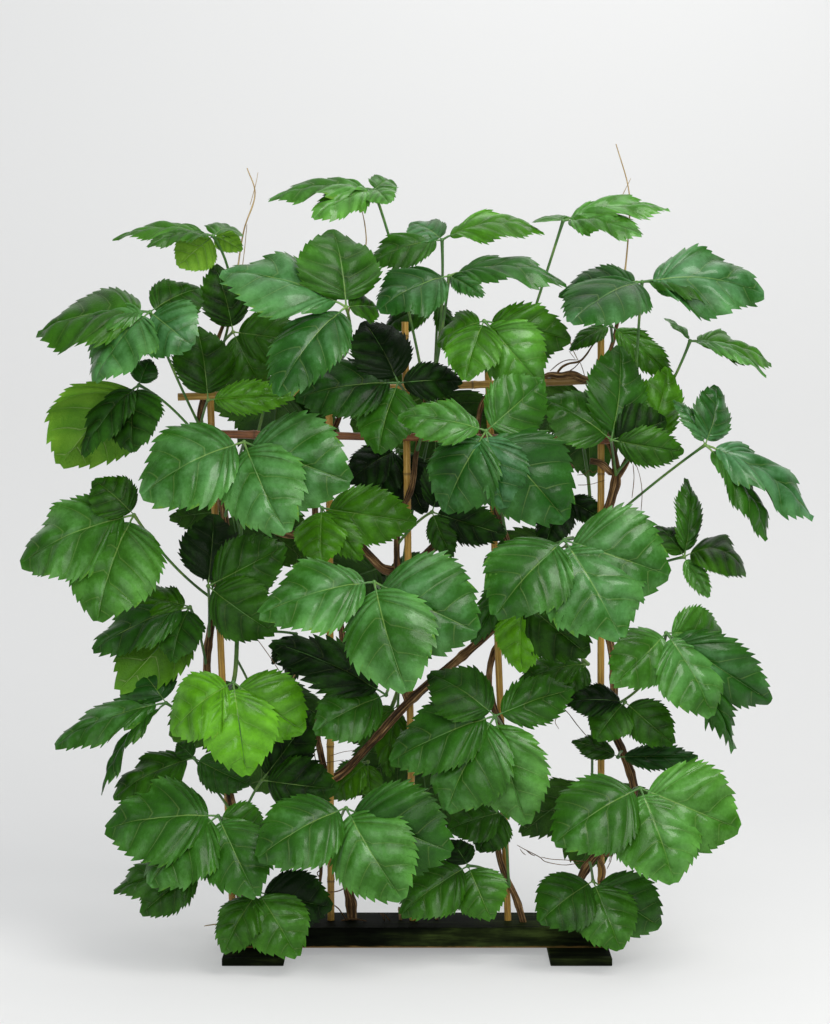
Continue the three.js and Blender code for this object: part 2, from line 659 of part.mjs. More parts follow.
function vineSolid(name, grow = 0) {
  return joined(vineCurves.filter((v) => v.name === name).map((v) => tube(
    v.curve, vineRadius(v, grow), vine.sides, Math.ceil(v.curve.getLength() / vine.step))));
}

// The point of a list that is nearest to a pixel, as the viewer sees it.
function nearest(points, [x, y]) {
  const flat = seen(x, y, 0);
  const distance = (point) => Math.hypot(point.x - flat.x, point.z - flat.z);
  return points.reduce((best, point) => (distance(point) < distance(best) ? point : best)).clone();
}

const woodPoints = vineCurves.flatMap(({ curve }) => curve.getSpacedPoints(160));

// A petiole bows up and back before it reaches the hub, unless it is given a pixel to bend by.
function petioleCurve(root, hub, normal, via) {
  const span = root.distanceTo(hub);
  const bend = via ? seen(...via)
    : root.clone().lerp(hub, 0.55).addScaledVector(up, 0.14 * span).addScaledVector(normal, -0.1 * span);
  return new THREE.QuadraticBezierCurve3(root, bend, hub);
}

function leafSolid(leaf, root) {
  const hub = seen(...leaf.hub, leaf.out);
  const normal = facing(leaf.face);
  const pieces = leaf.leaflets.map(([x, y, ratio, ahead, turn, arch]) => {
    const tip = Number.isFinite(ahead) ? seen(x, y, leaf.out + ahead) : seenOnPlane(x, y, hub, normal);
    return blade(hub, tip, normal, ratio, turn, arch);
  });
  const knob = new THREE.OctahedronGeometry(petiole.hubRadius).translate(hub.x, hub.y, hub.z);
  const curve = petioleCurve(root, hub, normal, leaf.via);
  const radius = (share) => THREE.MathUtils.lerp(petiole.rootRadius, petiole.radius, share);
  pieces.push(solidOf(knob), tube(curve, radius, petiole.sides, petiole.steps));
  const { twins = [] } = leaf;
  twins.forEach((twin) => pieces.push(leafSolid(twin, nearest(curve.getSpacedPoints(40), twin.root))));
  return joined(pieces);
}

function shootSolid(shoot) {
  const path = [nearest(woodPoints, shoot.root), ...shoot.path.map((place) => seen(...place))];
  const curve = new THREE.CatmullRomCurve3(path, false, 'centripetal');
  const radius = (share) => THREE.MathUtils.lerp(petiole.rootRadius + 1, petiole.radius, share);
  const stem = tube(curve, radius, petiole.sides, petiole.steps * 3);
  const stemPoints = curve.getSpacedPoints(60);
  return joined([stem, ...shoot.leaves.map((leaf) => leafSolid(leaf, nearest(stemPoints, leaf.root)))]);
}

const plant = new THREE.Group();

function addPiece(name, solid, colour, roughness) {
  const material = new THREE.MeshStandardMaterial({ color: colour, roughness, metalness: 0 });
  const mesh = new THREE.Mesh(geometryOf(largestBody(solid.simplify(leastDetail), name)), material);
  mesh.name = name;
  plant.add(mesh);
}

function box(width, depth, height, x, bottom) {
  return solidOf(new THREE.BoxGeometry(width, depth, height).translate(x, 0, bottom + height / 2));
}

// The base: a board on two cross feet, with a plain hole for every cane and stem.
const caneEnds = canePlaces.map(({ name, bottom, top }) => {
  const from = seen(...bottom, 0);
  const to = seen(...top, 0);
  const direction = to.clone().sub(from).normalize();
  from.addScaledVector(direction, (boardTop - cane.sunk - from.z) / direction.z);
  return { name, from, to };
});
const caneHoles = joined(caneEnds.map(({ from, to }) => bamboo(from, to, cane, gap)));
const vineNames = Object.keys(vinePlaces);
const vineHoles = joined(vineNames.map((name) => vineSolid(name, gap)));
const board = box(baseBoard.length, baseBoard.depth, baseBoard.thickness, 0, foot.thickness);
addPiece('base_board', board.subtract(caneHoles).subtract(vineHoles), colours.board, 0.6);
const footPlace = (baseBoard.length - foot.width) / 2;
addPiece('foot_left', box(foot.width, foot.length, foot.thickness, -footPlace, 0), colours.board, 0.6);
addPiece('foot_right', box(foot.width, foot.length, foot.thickness, footPlace, 0), colours.board, 0.6);

// The trellis.
caneEnds.forEach(({ name, from, to }) => addPiece(name, bamboo(from, to, cane), colours.cane, 0.5));
const railEnds = railPlaces.map(({ name, left, right }) => (
  { name, from: seen(...left, rail.out), to: seen(...right, rail.out) }));
const railSize = { radius: rail.radius, ringRadius: rail.ringRadius, ringSpacing: rail.ringSpacing };
railEnds.forEach(({ name, from, to }) => addPiece(
  name, bamboo(from, to, railSize).subtract(caneHoles), colours.cane, 0.5));
const railRoom = joined(railEnds.map(({ from, to }) => bamboo(from, to, railSize, gap)));

// The woody stems, each clear of the trellis and of the stems before it.
let taken = joined([caneHoles, railRoom]);
vineNames.forEach((name) => {
  addPiece(name, vineSolid(name).subtract(taken), colours.vine, 0.85);
  taken = taken.add(vineSolid(name, gap));
});

// The leaves.
leaves.forEach((leaf) => {
  const solid = leafSolid(leaf, nearest(woodPoints, leaf.root));
  addPiece(leaf.name, solid.subtract(vineHoles), leaf.bright ? colours.brightLeaf : colours.leaf, 0.45);
});
shoots.forEach((shoot) => addPiece(
  shoot.name, shootSolid(shoot).subtract(vineHoles), colours.leaf, 0.45));

const extent = new THREE.Box3().setFromObject(plant);
plant.position.set(-(extent.min.x + extent.max.x) / 2, -(extent.min.y + extent.max.y) / 2, 0);

export default plant;
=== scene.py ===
# A tetrastigma vine on its bamboo trellis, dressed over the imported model. Metres, Z up.
import math
import random

import bpy
import bmesh
import numpy as np
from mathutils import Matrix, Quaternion, Vector, noise


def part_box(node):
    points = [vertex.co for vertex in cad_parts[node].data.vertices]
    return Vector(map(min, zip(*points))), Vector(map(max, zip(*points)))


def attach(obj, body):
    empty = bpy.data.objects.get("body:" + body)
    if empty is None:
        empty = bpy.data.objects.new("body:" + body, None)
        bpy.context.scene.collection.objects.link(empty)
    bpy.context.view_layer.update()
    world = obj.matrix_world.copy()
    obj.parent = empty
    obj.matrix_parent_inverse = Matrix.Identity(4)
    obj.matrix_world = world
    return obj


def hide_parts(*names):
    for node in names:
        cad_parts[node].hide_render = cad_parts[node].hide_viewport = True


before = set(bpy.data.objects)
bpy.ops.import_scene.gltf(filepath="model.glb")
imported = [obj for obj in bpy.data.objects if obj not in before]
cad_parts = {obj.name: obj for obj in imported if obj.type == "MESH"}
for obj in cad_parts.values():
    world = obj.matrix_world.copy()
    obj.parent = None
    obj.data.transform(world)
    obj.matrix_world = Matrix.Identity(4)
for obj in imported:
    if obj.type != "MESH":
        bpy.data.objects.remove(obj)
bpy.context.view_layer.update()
print("model loaded:", len(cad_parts), "nodes")

mm = 0.001
fullTurn = 2 * math.pi
up = Vector((0, 0, 1))

# The same standing place as the part's source uses: pixels of an 830 x 1024 frame, millimetres out.
viewer = {
    "distance": 3500, "height": 920, "lookDown": math.radians(3.73), "focal": 2240,
    "centre": (417, 512), "frame": (830, 1024), "sensor": 36,
}
boardLow, boardHigh = [Vector(corner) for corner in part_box("base_board")]
boardTop = boardHigh.z
boardMiddle = Vector(((boardLow.x + boardHigh.x) / 2, (boardLow.y + boardHigh.y) / 2, 0))
eye = boardMiddle + Vector((0, -viewer["distance"], viewer["height"])) * mm


def sightLine(x, y):
    down = viewer["lookDown"]
    ray = Vector((0, math.cos(down), -math.sin(down)))
    ray += Vector((0, math.sin(down), math.cos(down))) * (viewer["centre"][1] - y) / viewer["focal"]
    ray.x = (x - viewer["centre"][0]) / viewer["focal"]
    return ray


# A pixel's place at some millimetres out from the trellis.
def seen(x, y, out):
    ray = sightLine(x, y)
    return eye + ray * ((viewer["distance"] - out) * mm / ray.y)


def seenOnPlane(x, y, point, normal):
    ray = sightLine(x, y)
    return eye + ray * ((point - eye).dot(normal) / ray.dot(normal))


# The way a leaf faces: degrees to the right and degrees upward, from facing the viewer.
def facing(right, upward):
    yaw, pitch = math.radians(right), math.radians(upward)
    return Vector((math.sin(yaw) * math.cos(pitch), -math.cos(yaw) * math.cos(pitch), math.sin(pitch)))


# Camera, floor and light come first.
def makeCamera():
    data = bpy.data.cameras.new("photoCamera")
    data.sensor_width = viewer["sensor"]
    data.lens = viewer["sensor"] * viewer["focal"] / viewer["frame"][1]
    camera = bpy.data.objects.new("photoCamera", data)
    aside = (viewer["centre"][0] - viewer["frame"][0] / 2) / viewer["focal"] * viewer["distance"]
    camera.location = eye - Vector((aside * mm, 0, 0))
    camera.rotation_euler = (math.radians(90) - viewer["lookDown"], 0, 0)
    bpy.context.collection.objects.link(camera)
    bpy.context.scene.camera = camera


studio = {
    "halfWidth": 8, "front": -7, "wallAt": 1.9, "bend": 0.8, "bendSteps": 12, "wallTop": 4.5,
    "paper": {
        "Base Color": (0.46, 0.46, 0.457, 1), "Roughness": 0.9, "Specular IOR Level": 0.2,
        "Emission Color": (0.98, 0.99, 1.0, 1), "Emission Strength": 0.318,
    },
    "roomLight": {"Color": (0.95, 0.97, 1.0, 1), "Strength": 0.28}, "roomSeen": (0.79, 0.8, 0.8, 1),
    "lamps": {
        # name: place, aim, size, watts, tint
        "keyLamp": ((1.3, -2.0, 3.0), (0, 0, 0.7), 1.8, 87, (1.0, 0.99, 0.96)),
        "fillLamp": ((-2.0, -2.8, 1.2), (-0.1, 0, 0.3), 1.8, 20, (0.97, 0.99, 1.0)),
        "floorLamp": ((0.2, -2.2, 1.2), (0.0, 0, 0.0), 1.2, 17, (1.0, 1.0, 1.0)),
        "topLamp": ((-0.1, -0.2, 3.2), (0, 0, 0.6), 3.0, 24, (0.98, 0.99, 1.0)),
        "backLamp": ((0.5, 1.3, 2.5), (0, 0, 0.6), 1.5, 6, (1.0, 1.0, 1.0)),
        "wallLamp": ((0.7, 0.8, 2.9), (0.4, 1.9, 0.9), 1.8, 5, (1.0, 1.0, 1.0)),
    },
}


# One sheet: flat floor, a round bend and a wall.
def makeBackdrop():
    profile = [(studio["front"], 0.0), (studio["wallAt"] - studio["bend"], 0.0)]
    for step in range(1, studio["bendSteps"] + 1):
        turn = math.radians(90) * step / studio["bendSteps"]
        profile.append((studio["wallAt"] - studio["bend"] * (1 - math.sin(turn)),
                        studio["bend"] * (1 - math.cos(turn))))
    profile.append((studio["wallAt"], studio["wallTop"]))
    points = [(side * studio["halfWidth"], y, z) for y, z in profile for side in (-1, 1)]
    faces = [(2 * i, 2 * i + 1, 2 * i + 3, 2 * i + 2) for i in range(len(profile) - 1)]
    mesh = bpy.data.meshes.new("backdrop")
    mesh.from_pydata(points, [], faces)
    mesh.shade_smooth()
    mesh.materials.append(makePaper())
    backdrop = bpy.data.objects.new("backdrop", mesh)
    bpy.context.collection.objects.link(backdrop)


def makePaper():
    paper = bpy.data.materials.new("backdropPaper")
    paper.use_nodes = True
    nodes, links = paper.node_tree.nodes, paper.node_tree.links
    shader = nodes["Principled BSDF"]
    for socket, value in studio["paper"].items():
        shader.inputs[socket].default_value = value
    # The sheet has one side: from behind, the room is looked into through it.
    mixed = nodes.new("ShaderNodeMixShader")
    links.new(nodes.new("ShaderNodeNewGeometry").outputs["Backfacing"], mixed.inputs[0])
    links.new(shader.outputs["BSDF"], mixed.inputs[1])
    links.new(nodes.new("ShaderNodeBsdfTransparent").outputs["BSDF"], mixed.inputs[2])
    links.new(mixed.outputs[0], nodes["Material Output"].inputs["Surface"])
    return paper


def makeLamps():
    for name, (place, aim, size, watts, tint) in studio["lamps"].items():
        data = bpy.data.lights.new(name, "AREA")
        data.shape = "SQUARE"
        data.size = size
        data.energy = watts
        data.color = tint
        lamp = bpy.data.objects.new(name, data)
        lamp.location = place
        lamp.rotation_euler = (Vector(aim) - Vector(place)).to_track_quat("-Z", "Y").to_euler()
        bpy.context.collection.objects.link(lamp)


# Beyond the sheet the room looks pale, whatever light it gives.
def makeRoom():
    world = bpy.data.worlds.new("softRoom")
    world.use_nodes = True
    nodes, links = world.node_tree.nodes, world.node_tree.links
    light = nodes["Background"]
    for socket, value in studio["roomLight"].items():
        light.inputs[socket].default_value = value
    pale, mixed = nodes.new("ShaderNodeBackground"), nodes.new("ShaderNodeMixShader")
    pale.inputs["Color"].default_value = studio["roomSeen"]
    links.new(nodes.new("ShaderNodeLightPath").outputs["Is Camera Ray"], mixed.inputs[0])
    links.new(light.outputs[0], mixed.inputs[1])
    links.new(pale.outputs[0], mixed.inputs[2])
    links.new(mixed.outputs[0], nodes["World Output"].inputs["Surface"])
    bpy.context.scene.world = world
    bpy.context.scene.view_settings.view_transform = "Standard"


makeCamera()
makeBackdrop()
makeLamps()
makeRoom()
print("camera and studio set")


# Node helpers: an input is a number, a colour, or the socket that feeds it.
def fillInputs(tree, made, inputs):
    for key, value in inputs.items():
        if isinstance(value, bpy.types.NodeSocket):
            tree.links.new(value, made.inputs[key])
        else:
            made.inputs[key].default_value = value


def addNode(tree, kind, inputs=None, **settings):
    made = tree.nodes.new(kind)
    for key, value in settings.items():
        setattr(made, key, value)
    fillInputs(tree, made, inputs or {})
    return made


# A web colour as linear light.
def colour(code):
    parts = [int(code[i:i + 2], 16) / 255 for i in (0, 2, 4)]
    return tuple(c / 12.92 if c < 0.04045 else ((c + 0.055) / 1.055) ** 2.4 for c in parts) + (1,)


def combine(tree, operation, a, b=0.5, c=0.5, clamp=False):
    made = addNode(tree, "ShaderNodeMath", {0: a, 1: b, 2: c}, operation=operation, use_clamp=clamp)
    return made.outputs[0]


# Adds a share of a mask to a value, and takes off about what the mask adds on average.
def shaded(tree, value, mask, share, less):
    return combine(tree, "MULTIPLY_ADD", mask, share, combine(tree, "SUBTRACT", value, less))


# The sum of two masks, each by its share, and a shift.
def weighed(tree, first, second, firstShare, secondShare, shift):
    return combine(tree, "MULTIPLY_ADD", first, firstShare,
                   combine(tree, "MULTIPLY_ADD", second, secondShare, shift))


def smooth(tree, value, low, high):
    return addNode(tree, "ShaderNodeMapRange", {"Value": value, "From Min": low, "From Max": high},
                   interpolation_type="SMOOTHSTEP").outputs["Result"]


def mixColour(tree, share, a, b):
    return addNode(tree, "ShaderNodeMix", {0: share, 6: a, 7: b}, data_type="RGBA").outputs[2]


def ramp(tree, value, stops):
    made = addNode(tree, "ShaderNodeValToRGB", {"Fac": value})
    band = made.color_ramp
    while len(band.elements) < len(stops):
        band.elements.new(0.5)
    for element, (at, code) in zip(band.elements, stops):
        element.position = at
        element.color = colour(code)
    return made.outputs["Color"]


def attribute(tree, name, output):
    return addNode(tree, "ShaderNodeAttribute", attribute_name=name).outputs[output]


def objectPlace(tree):
    return addNode(tree, "ShaderNodeTexCoord").outputs["Object"]


def newGroup(name, inputs, outputs):
    tree = bpy.data.node_groups.new(name, "ShaderNodeTree")
    for title, kind, value in inputs:
        socket = tree.interface.new_socket(title, in_out="INPUT", socket_type=kind)
        if value is not None:
            socket.default_value = value
    for title, kind in outputs:
        tree.interface.new_socket(title, in_out="OUTPUT", socket_type=kind)
    return tree, tree.nodes.new("NodeGroupInput"), tree.nodes.new("NodeGroupOutput")


def useGroup(tree, group, inputs):
    made = addNode(tree, "ShaderNodeGroup", node_tree=group)
    fillInputs(tree, made, inputs)
    return made.outputs


# A new material with its shader's plain values set.
def newMaterial(name, values):
    material = bpy.data.materials.new(name)
    material.use_nodes = True
    tree = material.node_tree
    shader = tree.nodes["Principled BSDF"]
    fillInputs(tree, shader, values)
    return material, tree, shader


# Roughness that follows a mask: from low to high while the mask goes from start to end.
def spreadRoughness(tree, shader, mask, low, high, start=0.0, end=1.0):
    made = addNode(tree, "ShaderNodeMapRange", {
        "Value": mask, "From Min": start, "From Max": end, "To Min": low, "To Max": high})
    tree.links.new(made.outputs["Result"], shader.inputs["Roughness"])


# A negative strength turns the relief inside out.
def addBump(tree, shader, height, strength, distance):
    made = addNode(tree, "ShaderNodeBump", {
        "Strength": abs(strength), "Distance": distance, "Height": height}, invert=strength < 0)
    tree.links.new(made.outputs["Normal"], shader.inputs["Normal"])


# Cloudy patches at two scales, for leaves, bark and stain alike.
mottlePattern = {
    "Broad": {"Detail": 4.0, "Roughness": 0.6},
    "Fine": {"Detail": 3.0, "Roughness": 0.6},
}


def makeMottleGroup():
    tree, given, result = newGroup(
        "mottle",
        [("Vector", "NodeSocketVector", None), ("Broad", "NodeSocketFloat", 9.0),
         ("Fine", "NodeSocketFloat", 120.0)],
        [("Broad", "NodeSocketFloat"), ("Fine", "NodeSocketFloat")])
    for title, pattern in mottlePattern.items():
        cloud = addNode(tree, "ShaderNodeTexNoise", {
            "Vector": given.outputs["Vector"], "Scale": given.outputs[title], **pattern})
        tree.links.new(cloud.outputs["Fac"], result.inputs[title])
    return tree


# Leaf veins from the blade's own attributes: vein number along, share across.
veinPattern = {
    "lateralWidth": 0.046, "lateralTaper": -0.03, "lateralFade": (1.0, 0.72),
    "midribEdge": (0.022, 0.005), "midribFade": (7.5, 1.5), "midribLeft": 0.4,
    "fieldRise": (0.0, 0.42),
}


def makeVeinGroup():
    tree, given, result = newGroup(
        "veins",
        [("Number", "NodeSocketFloat", 0.0), ("Across", "NodeSocketFloat", 0.0)],
        [("Lateral", "NodeSocketFloat"), ("Midrib", "NodeSocketFloat"), ("Relief", "NodeSocketFloat"),
         ("Field", "NodeSocketFloat")])
    across = combine(tree, "ABSOLUTE", given.outputs["Across"])
    # A lateral vein lies at each whole number; near is the distance from it.
    fromMiddle = combine(tree, "SUBTRACT", combine(tree, "FRACT", given.outputs["Number"]), 0.5)
    near = combine(tree, "SUBTRACT", 0.5, combine(tree, "ABSOLUTE", fromMiddle))
    width = combine(tree, "MULTIPLY_ADD", across, veinPattern["lateralTaper"], veinPattern["lateralWidth"])
    lateral = combine(tree, "DIVIDE", near, width, clamp=True)
    lateral = combine(tree, "SUBTRACT", 1.0, lateral, clamp=True)
    lateral = combine(tree, "MULTIPLY", lateral, smooth(tree, across, *veinPattern["lateralFade"]))
    # The midrib grows faint towards the tip.
    left = veinPattern["midribLeft"]
    fade = combine(tree, "MULTIPLY_ADD", smooth(tree, given.outputs["Number"], *veinPattern["midribFade"]),
                   1 - left, left)
    midrib = combine(tree, "MULTIPLY", smooth(tree, across, *veinPattern["midribEdge"]), fade)
    tree.links.new(lateral, result.inputs["Lateral"])
    tree.links.new(midrib, result.inputs["Midrib"])
    tree.links.new(combine(tree, "MAXIMUM", lateral, midrib), result.inputs["Relief"])
    tree.links.new(smooth(tree, near, *veinPattern["fieldRise"]), result.inputs["Field"])
    return tree


mottleGroup = makeMottleGroup()
veinGroup = makeVeinGroup()


# The mottle of a material, over the object's own space unless a place is given.
def useMottle(tree, scales, place=None):
    return useGroup(tree, mottleGroup, {"Vector": place or objectPlace(tree), **scales})


leafFinish = {
    # Shaded, plain and lit tones of a cool and of a warm leaf, and how much of the vein tone shows.
    "leafUpper": {"cool": ["031203", "194715", "588c62"], "warm": ["0c2400", "3b7004", "6cb61e"],
                  "vein": "9dbb62", "lateral": 0.13, "midrib": 0.36, "margin": 0.22,
                  "roughness": (0.36, 0.5), "relief": 0.5, "coat": 0.52,
                  "values": {"Specular IOR Level": 0.1, "Coat Roughness": 0.2}},
    "leafUnder": {"cool": ["12330a", "33601a", "5a8434"], "warm": ["234806", "4b7d10", "77a52a"],
                  "vein": "a9c07c", "lateral": 0.4, "midrib": 0.75, "margin": 0.2,
                  "roughness": (0.55, 0.7), "relief": -0.8, "coat": 0,
                  "values": {"Specular IOR Level": 0.25}},
}

leafPattern = {
    "mottle": {"Broad": 14.0, "Fine": 170.0}, "stops": (0.14, 0.5, 0.86),
    # How much each mask lightens the blade, and what is taken off for it.
    "broadTone": (0.6, 0.3), "fineTone": (0.16, 0.08), "fieldShadeTone": (0.09, 0.05),
    "rim": (0.45, 1.0), "rimTone": 0.3,
    "veinsClear": (0.05, 0.5), "veinsLeft": 0.2, "roughPatches": (0.3, 0.7),
    "openLeaf": (0.2, 0.6), "waxPatches": (0.36, 0.66), "waxLeft": 0.4,
    "net": 190.0, "netEdge": (0.0, 0.22), "netDepth": 0.25, "fineDepth": 0.5, "bumpDistance": 0.0014,
}


# The blade's colour from its light, its warmth, its patches and its veins.
def leafColour(tree, look, light, across, warmth, cloud, veins):
    tone = shaded(tree, light, cloud["Broad"], *leafPattern["broadTone"])
    tone = shaded(tree, tone, cloud["Fine"], *leafPattern["fineTone"])
    # Painted light and shade: the blade is lighter in the fields between its veins and darker along them,
    # like the shading of its quilted relief.
    tone = shaded(tree, tone, veins["Field"], *leafPattern["fieldShadeTone"])
    # The margin is a little warmer and paler than the middle of the blade.
    rim = smooth(tree, combine(tree, "ABSOLUTE", across), *leafPattern["rim"])
    rim = combine(tree, "MULTIPLY", rim, combine(tree, "MULTIPLY", cloud["Broad"], look["margin"]))
    warmth = combine(tree, "ADD", warmth, rim, clamp=True)
    tone = combine(tree, "MULTIPLY_ADD", rim, leafPattern["rimTone"], tone)
    cool, warm = (ramp(tree, tone, list(zip(leafPattern["stops"], look[key]))) for key in ("cool", "warm"))
    base = mixColour(tree, warmth, cool, warm)
    # Veins show less on dark leaflets, and so stay within their painted shade.
    left = leafPattern["veinsLeft"]
    clear = combine(tree, "MULTIPLY_ADD", smooth(tree, light, *leafPattern["veinsClear"]), 1 - left, left)
    for key, socket in (("lateral", veins["Lateral"]), ("midrib", veins["Midrib"])):
        shown = combine(tree, "MULTIPLY", combine(tree, "MULTIPLY", socket, look[key]), clear)
        base = mixColour(tree, shown, base, colour(look["vein"]))
    return base


# The waxy shine comes in patches, and dark leaves deep inside have little of it.
def leafWax(tree, look, light, cloud):
    left = leafPattern["waxLeft"]
    patch = smooth(tree, cloud["Broad"], *leafPattern["waxPatches"])
    gloss = combine(tree, "MULTIPLY", smooth(tree, light, *leafPattern["openLeaf"]),
                    combine(tree, "MULTIPLY_ADD", patch, 1 - left, left))
    return combine(tree, "MULTIPLY", gloss, look["coat"])


# The net of small veins puckers the blade between the laterals.
def leafRelief(tree, place, cloud, veins):
    net = addNode(tree, "ShaderNodeTexVoronoi", {"Vector": place, "Scale": leafPattern["net"]},
                  feature="DISTANCE_TO_EDGE")
    pucker = smooth(tree, net.outputs["Distance"], *leafPattern["netEdge"])
    height = combine(tree, "MULTIPLY_ADD", pucker, leafPattern["netDepth"],
                     combine(tree, "MULTIPLY", veins["Relief"], -1.0))
    return combine(tree, "MULTIPLY_ADD", cloud["Fine"], leafPattern["fineDepth"], height)


def makeLeafMaterial(name):
    look = leafFinish[name]
    material, tree, shader = newMaterial(name, look["values"])
    parts = addNode(tree, "ShaderNodeSeparateXYZ", {0: attribute(tree, "place", "Vector")})
    number, across, light = (parts.outputs[axis] for axis in "XYZ")
    place = objectPlace(tree)
    veins = useGroup(tree, veinGroup, {"Number": number, "Across": across})
    cloud = useMottle(tree, leafPattern["mottle"], place)
    base = leafColour(tree, look, light, across, attribute(tree, "warmth", "Fac"), cloud, veins)
    tree.links.new(base, shader.inputs["Base Color"])
    spreadRoughness(tree, shader, cloud["Broad"], *look["roughness"], *leafPattern["roughPatches"])
    if look["coat"]:
        tree.links.new(leafWax(tree, look, light, cloud), shader.inputs["Coat Weight"])
    addBump(tree, shader, leafRelief(tree, place, cloud, veins), look["relief"], leafPattern["bumpDistance"])
    return material


stalkFinish = {
    "tones": [(0.3, "2c5220"), (0.5, "44702c"), (0.68, "6d8a3c")],
    "mottle": {"Broad": 22.0, "Fine": 340.0}, "values": {"Roughness": 0.5}, "bump": (0.4, 0.0006),
}


def makeStalkMaterial():
    material, tree, shader = newMaterial("greenStalk", stalkFinish["values"])
    cloud = useMottle(tree, stalkFinish["mottle"])
    tree.links.new(ramp(tree, cloud["Broad"], stalkFinish["tones"]), shader.inputs["Base Color"])
    addBump(tree, shader, cloud["Fine"], *stalkFinish["bump"])
    return material


barkFinish = {
    "tones": [(0.2, "170e06"), (0.4, "44301b"), (0.56, "7a5a36"), (0.74, "b59365")],
    "dryTones": [(0.2, "6f5730"), (0.5, "b59a68"), (0.75, "d8c79e")],
    "strands": {"Scale": 0.9, "Detail": 6.0, "Roughness": 0.7, "Distortion": 0.6},
    "mottle": {"Broad": 26.0, "Fine": 420.0}, "toneShares": (0.55, 1.7, -0.66), "fineDepth": 0.3,
    "values": {"Roughness": 0.82, "Specular IOR Level": 0.3}, "bump": (0.9, 0.0018),
}


# Bark runs along the stem: the grain attribute holds its length and turn, the other how dry it is.
def makeBarkMaterial():
    material, tree, shader = newMaterial("vineBark", barkFinish["values"])
    strands = addNode(tree, "ShaderNodeTexNoise", {
        "Vector": attribute(tree, "grain", "Vector"), **barkFinish["strands"]}).outputs["Fac"]
    cloud = useMottle(tree, barkFinish["mottle"])
    tone = weighed(tree, cloud["Broad"], strands, *barkFinish["toneShares"])
    fresh, dry = (ramp(tree, tone, barkFinish[key]) for key in ("tones", "dryTones"))
    base = mixColour(tree, attribute(tree, "dry", "Fac"), fresh, dry)
    tree.links.new(base, shader.inputs["Base Color"])
    height = combine(tree, "MULTIPLY_ADD", cloud["Fine"], barkFinish["fineDepth"], strands)
    addBump(tree, shader, height, *barkFinish["bump"])
    return material


bambooFinish = {
    "tones": {
        "paleBamboo": [(0.3, "5e4217"), (0.45, "9a742b"), (0.58, "c69a44"), (0.75, "dcbe78")],
        "brownBamboo": [(0.3, "341b0c"), (0.45, "6b3f20"), (0.6, "965e37"), (0.75, "b98454")],
    },
    "fibres": {"Scale": 1.1, "Detail": 6.0, "Roughness": 0.66},
    "mottle": {"Broad": 11.0, "Fine": 300.0}, "toneShares": (0.8, 0.6, -0.18),
    # The knot colour also paints shade inside the bore of a cut end.
    "knot": "4a3314", "knotAndBoreShadeShare": 0.65, "roughness": (0.35, 0.65), "bump": (0.45, 0.0006),
}


# Here the dry attribute marks the knots, the dark bark and the painted shade inside the bore of a cut end.
def makeBambooMaterial(name):
    material, tree, shader = newMaterial(name, {})
    fibres = addNode(tree, "ShaderNodeTexNoise", {
        "Vector": attribute(tree, "grain", "Vector"), **bambooFinish["fibres"]}).outputs["Fac"]
    cloud = useMottle(tree, bambooFinish["mottle"])
    tone = weighed(tree, fibres, cloud["Broad"], *bambooFinish["toneShares"])
    knot = combine(tree, "MULTIPLY", attribute(tree, "dry", "Fac"), bambooFinish["knotAndBoreShadeShare"])
    base = mixColour(tree, knot, ramp(tree, tone, bambooFinish["tones"][name]), colour(bambooFinish["knot"]))
    tree.links.new(base, shader.inputs["Base Color"])
    spreadRoughness(tree, shader, cloud["Broad"], *bambooFinish["roughness"])
    addBump(tree, shader, fibres, *bambooFinish["bump"])
    return material


stainFinish = {
    "tones": [(0.3, "060804"), (0.45, "10150b"), (0.58, "202812"), (0.75, "3c4a22")],
    "stretch": (1.0, 9.0, 9.0), "grain": {"Broad": 6.0, "Fine": 46.0},
    "patches": {"Broad": 8.0, "Fine": 90.0}, "toneShares": (0.85, 0.75, -0.32), "fineTone": (0.2, 0.1),
    # The stain stops short of the board's lower edge, which lies on top of the feet.
    "bareEdge": "7d6338", "edgeFade": (0.0158, 0.0125), "edgeJag": (0.006, 0.003),
    "feetTop": (0.0121, 0.0124),
    "roughness": (0.55, 0.85), "values": {"Specular IOR Level": 0.08, "IOR": 1.25}, "bump": (0.5, 0.0012),
}


def makeStainMaterial():
    material, tree, shader = newMaterial("stainedBoard", stainFinish["values"])
    place = objectPlace(tree)
    stretched = addNode(tree, "ShaderNodeMapping", {"Vector": place, "Scale": stainFinish["stretch"]})
    grain = useMottle(tree, stainFinish["grain"], stretched.outputs["Vector"])
    patches = useMottle(tree, stainFinish["patches"], place)
    tone = weighed(tree, grain["Broad"], patches["Broad"], *stainFinish["toneShares"])
    tone = shaded(tree, tone, grain["Fine"], *stainFinish["fineTone"])
    height = addNode(tree, "ShaderNodeSeparateXYZ", {0: place}).outputs["Z"]
    jagged = shaded(tree, height, grain["Fine"], *stainFinish["edgeJag"])
    bare = combine(tree, "MULTIPLY", smooth(tree, jagged, *stainFinish["edgeFade"]),
                   smooth(tree, height, *stainFinish["feetTop"]))
    base = mixColour(tree, bare, ramp(tree, tone, stainFinish["tones"]), colour(stainFinish["bareEdge"]))
    tree.links.new(base, shader.inputs["Base Color"])
    spreadRoughness(tree, shader, patches["Broad"], *stainFinish["roughness"])
    addBump(tree, shader, grain["Fine"], *stainFinish["bump"])
    return material


finishes = {name: makeLeafMaterial(name) for name in leafFinish}
finishes["greenStalk"] = makeStalkMaterial()
finishes["vineBark"] = makeBarkMaterial()
for name in bambooFinish["tones"]:
    finishes[name] = makeBambooMaterial(name)
finishes["stainedBoard"] = makeStainMaterial()
print("finishes made:", len(finishes))


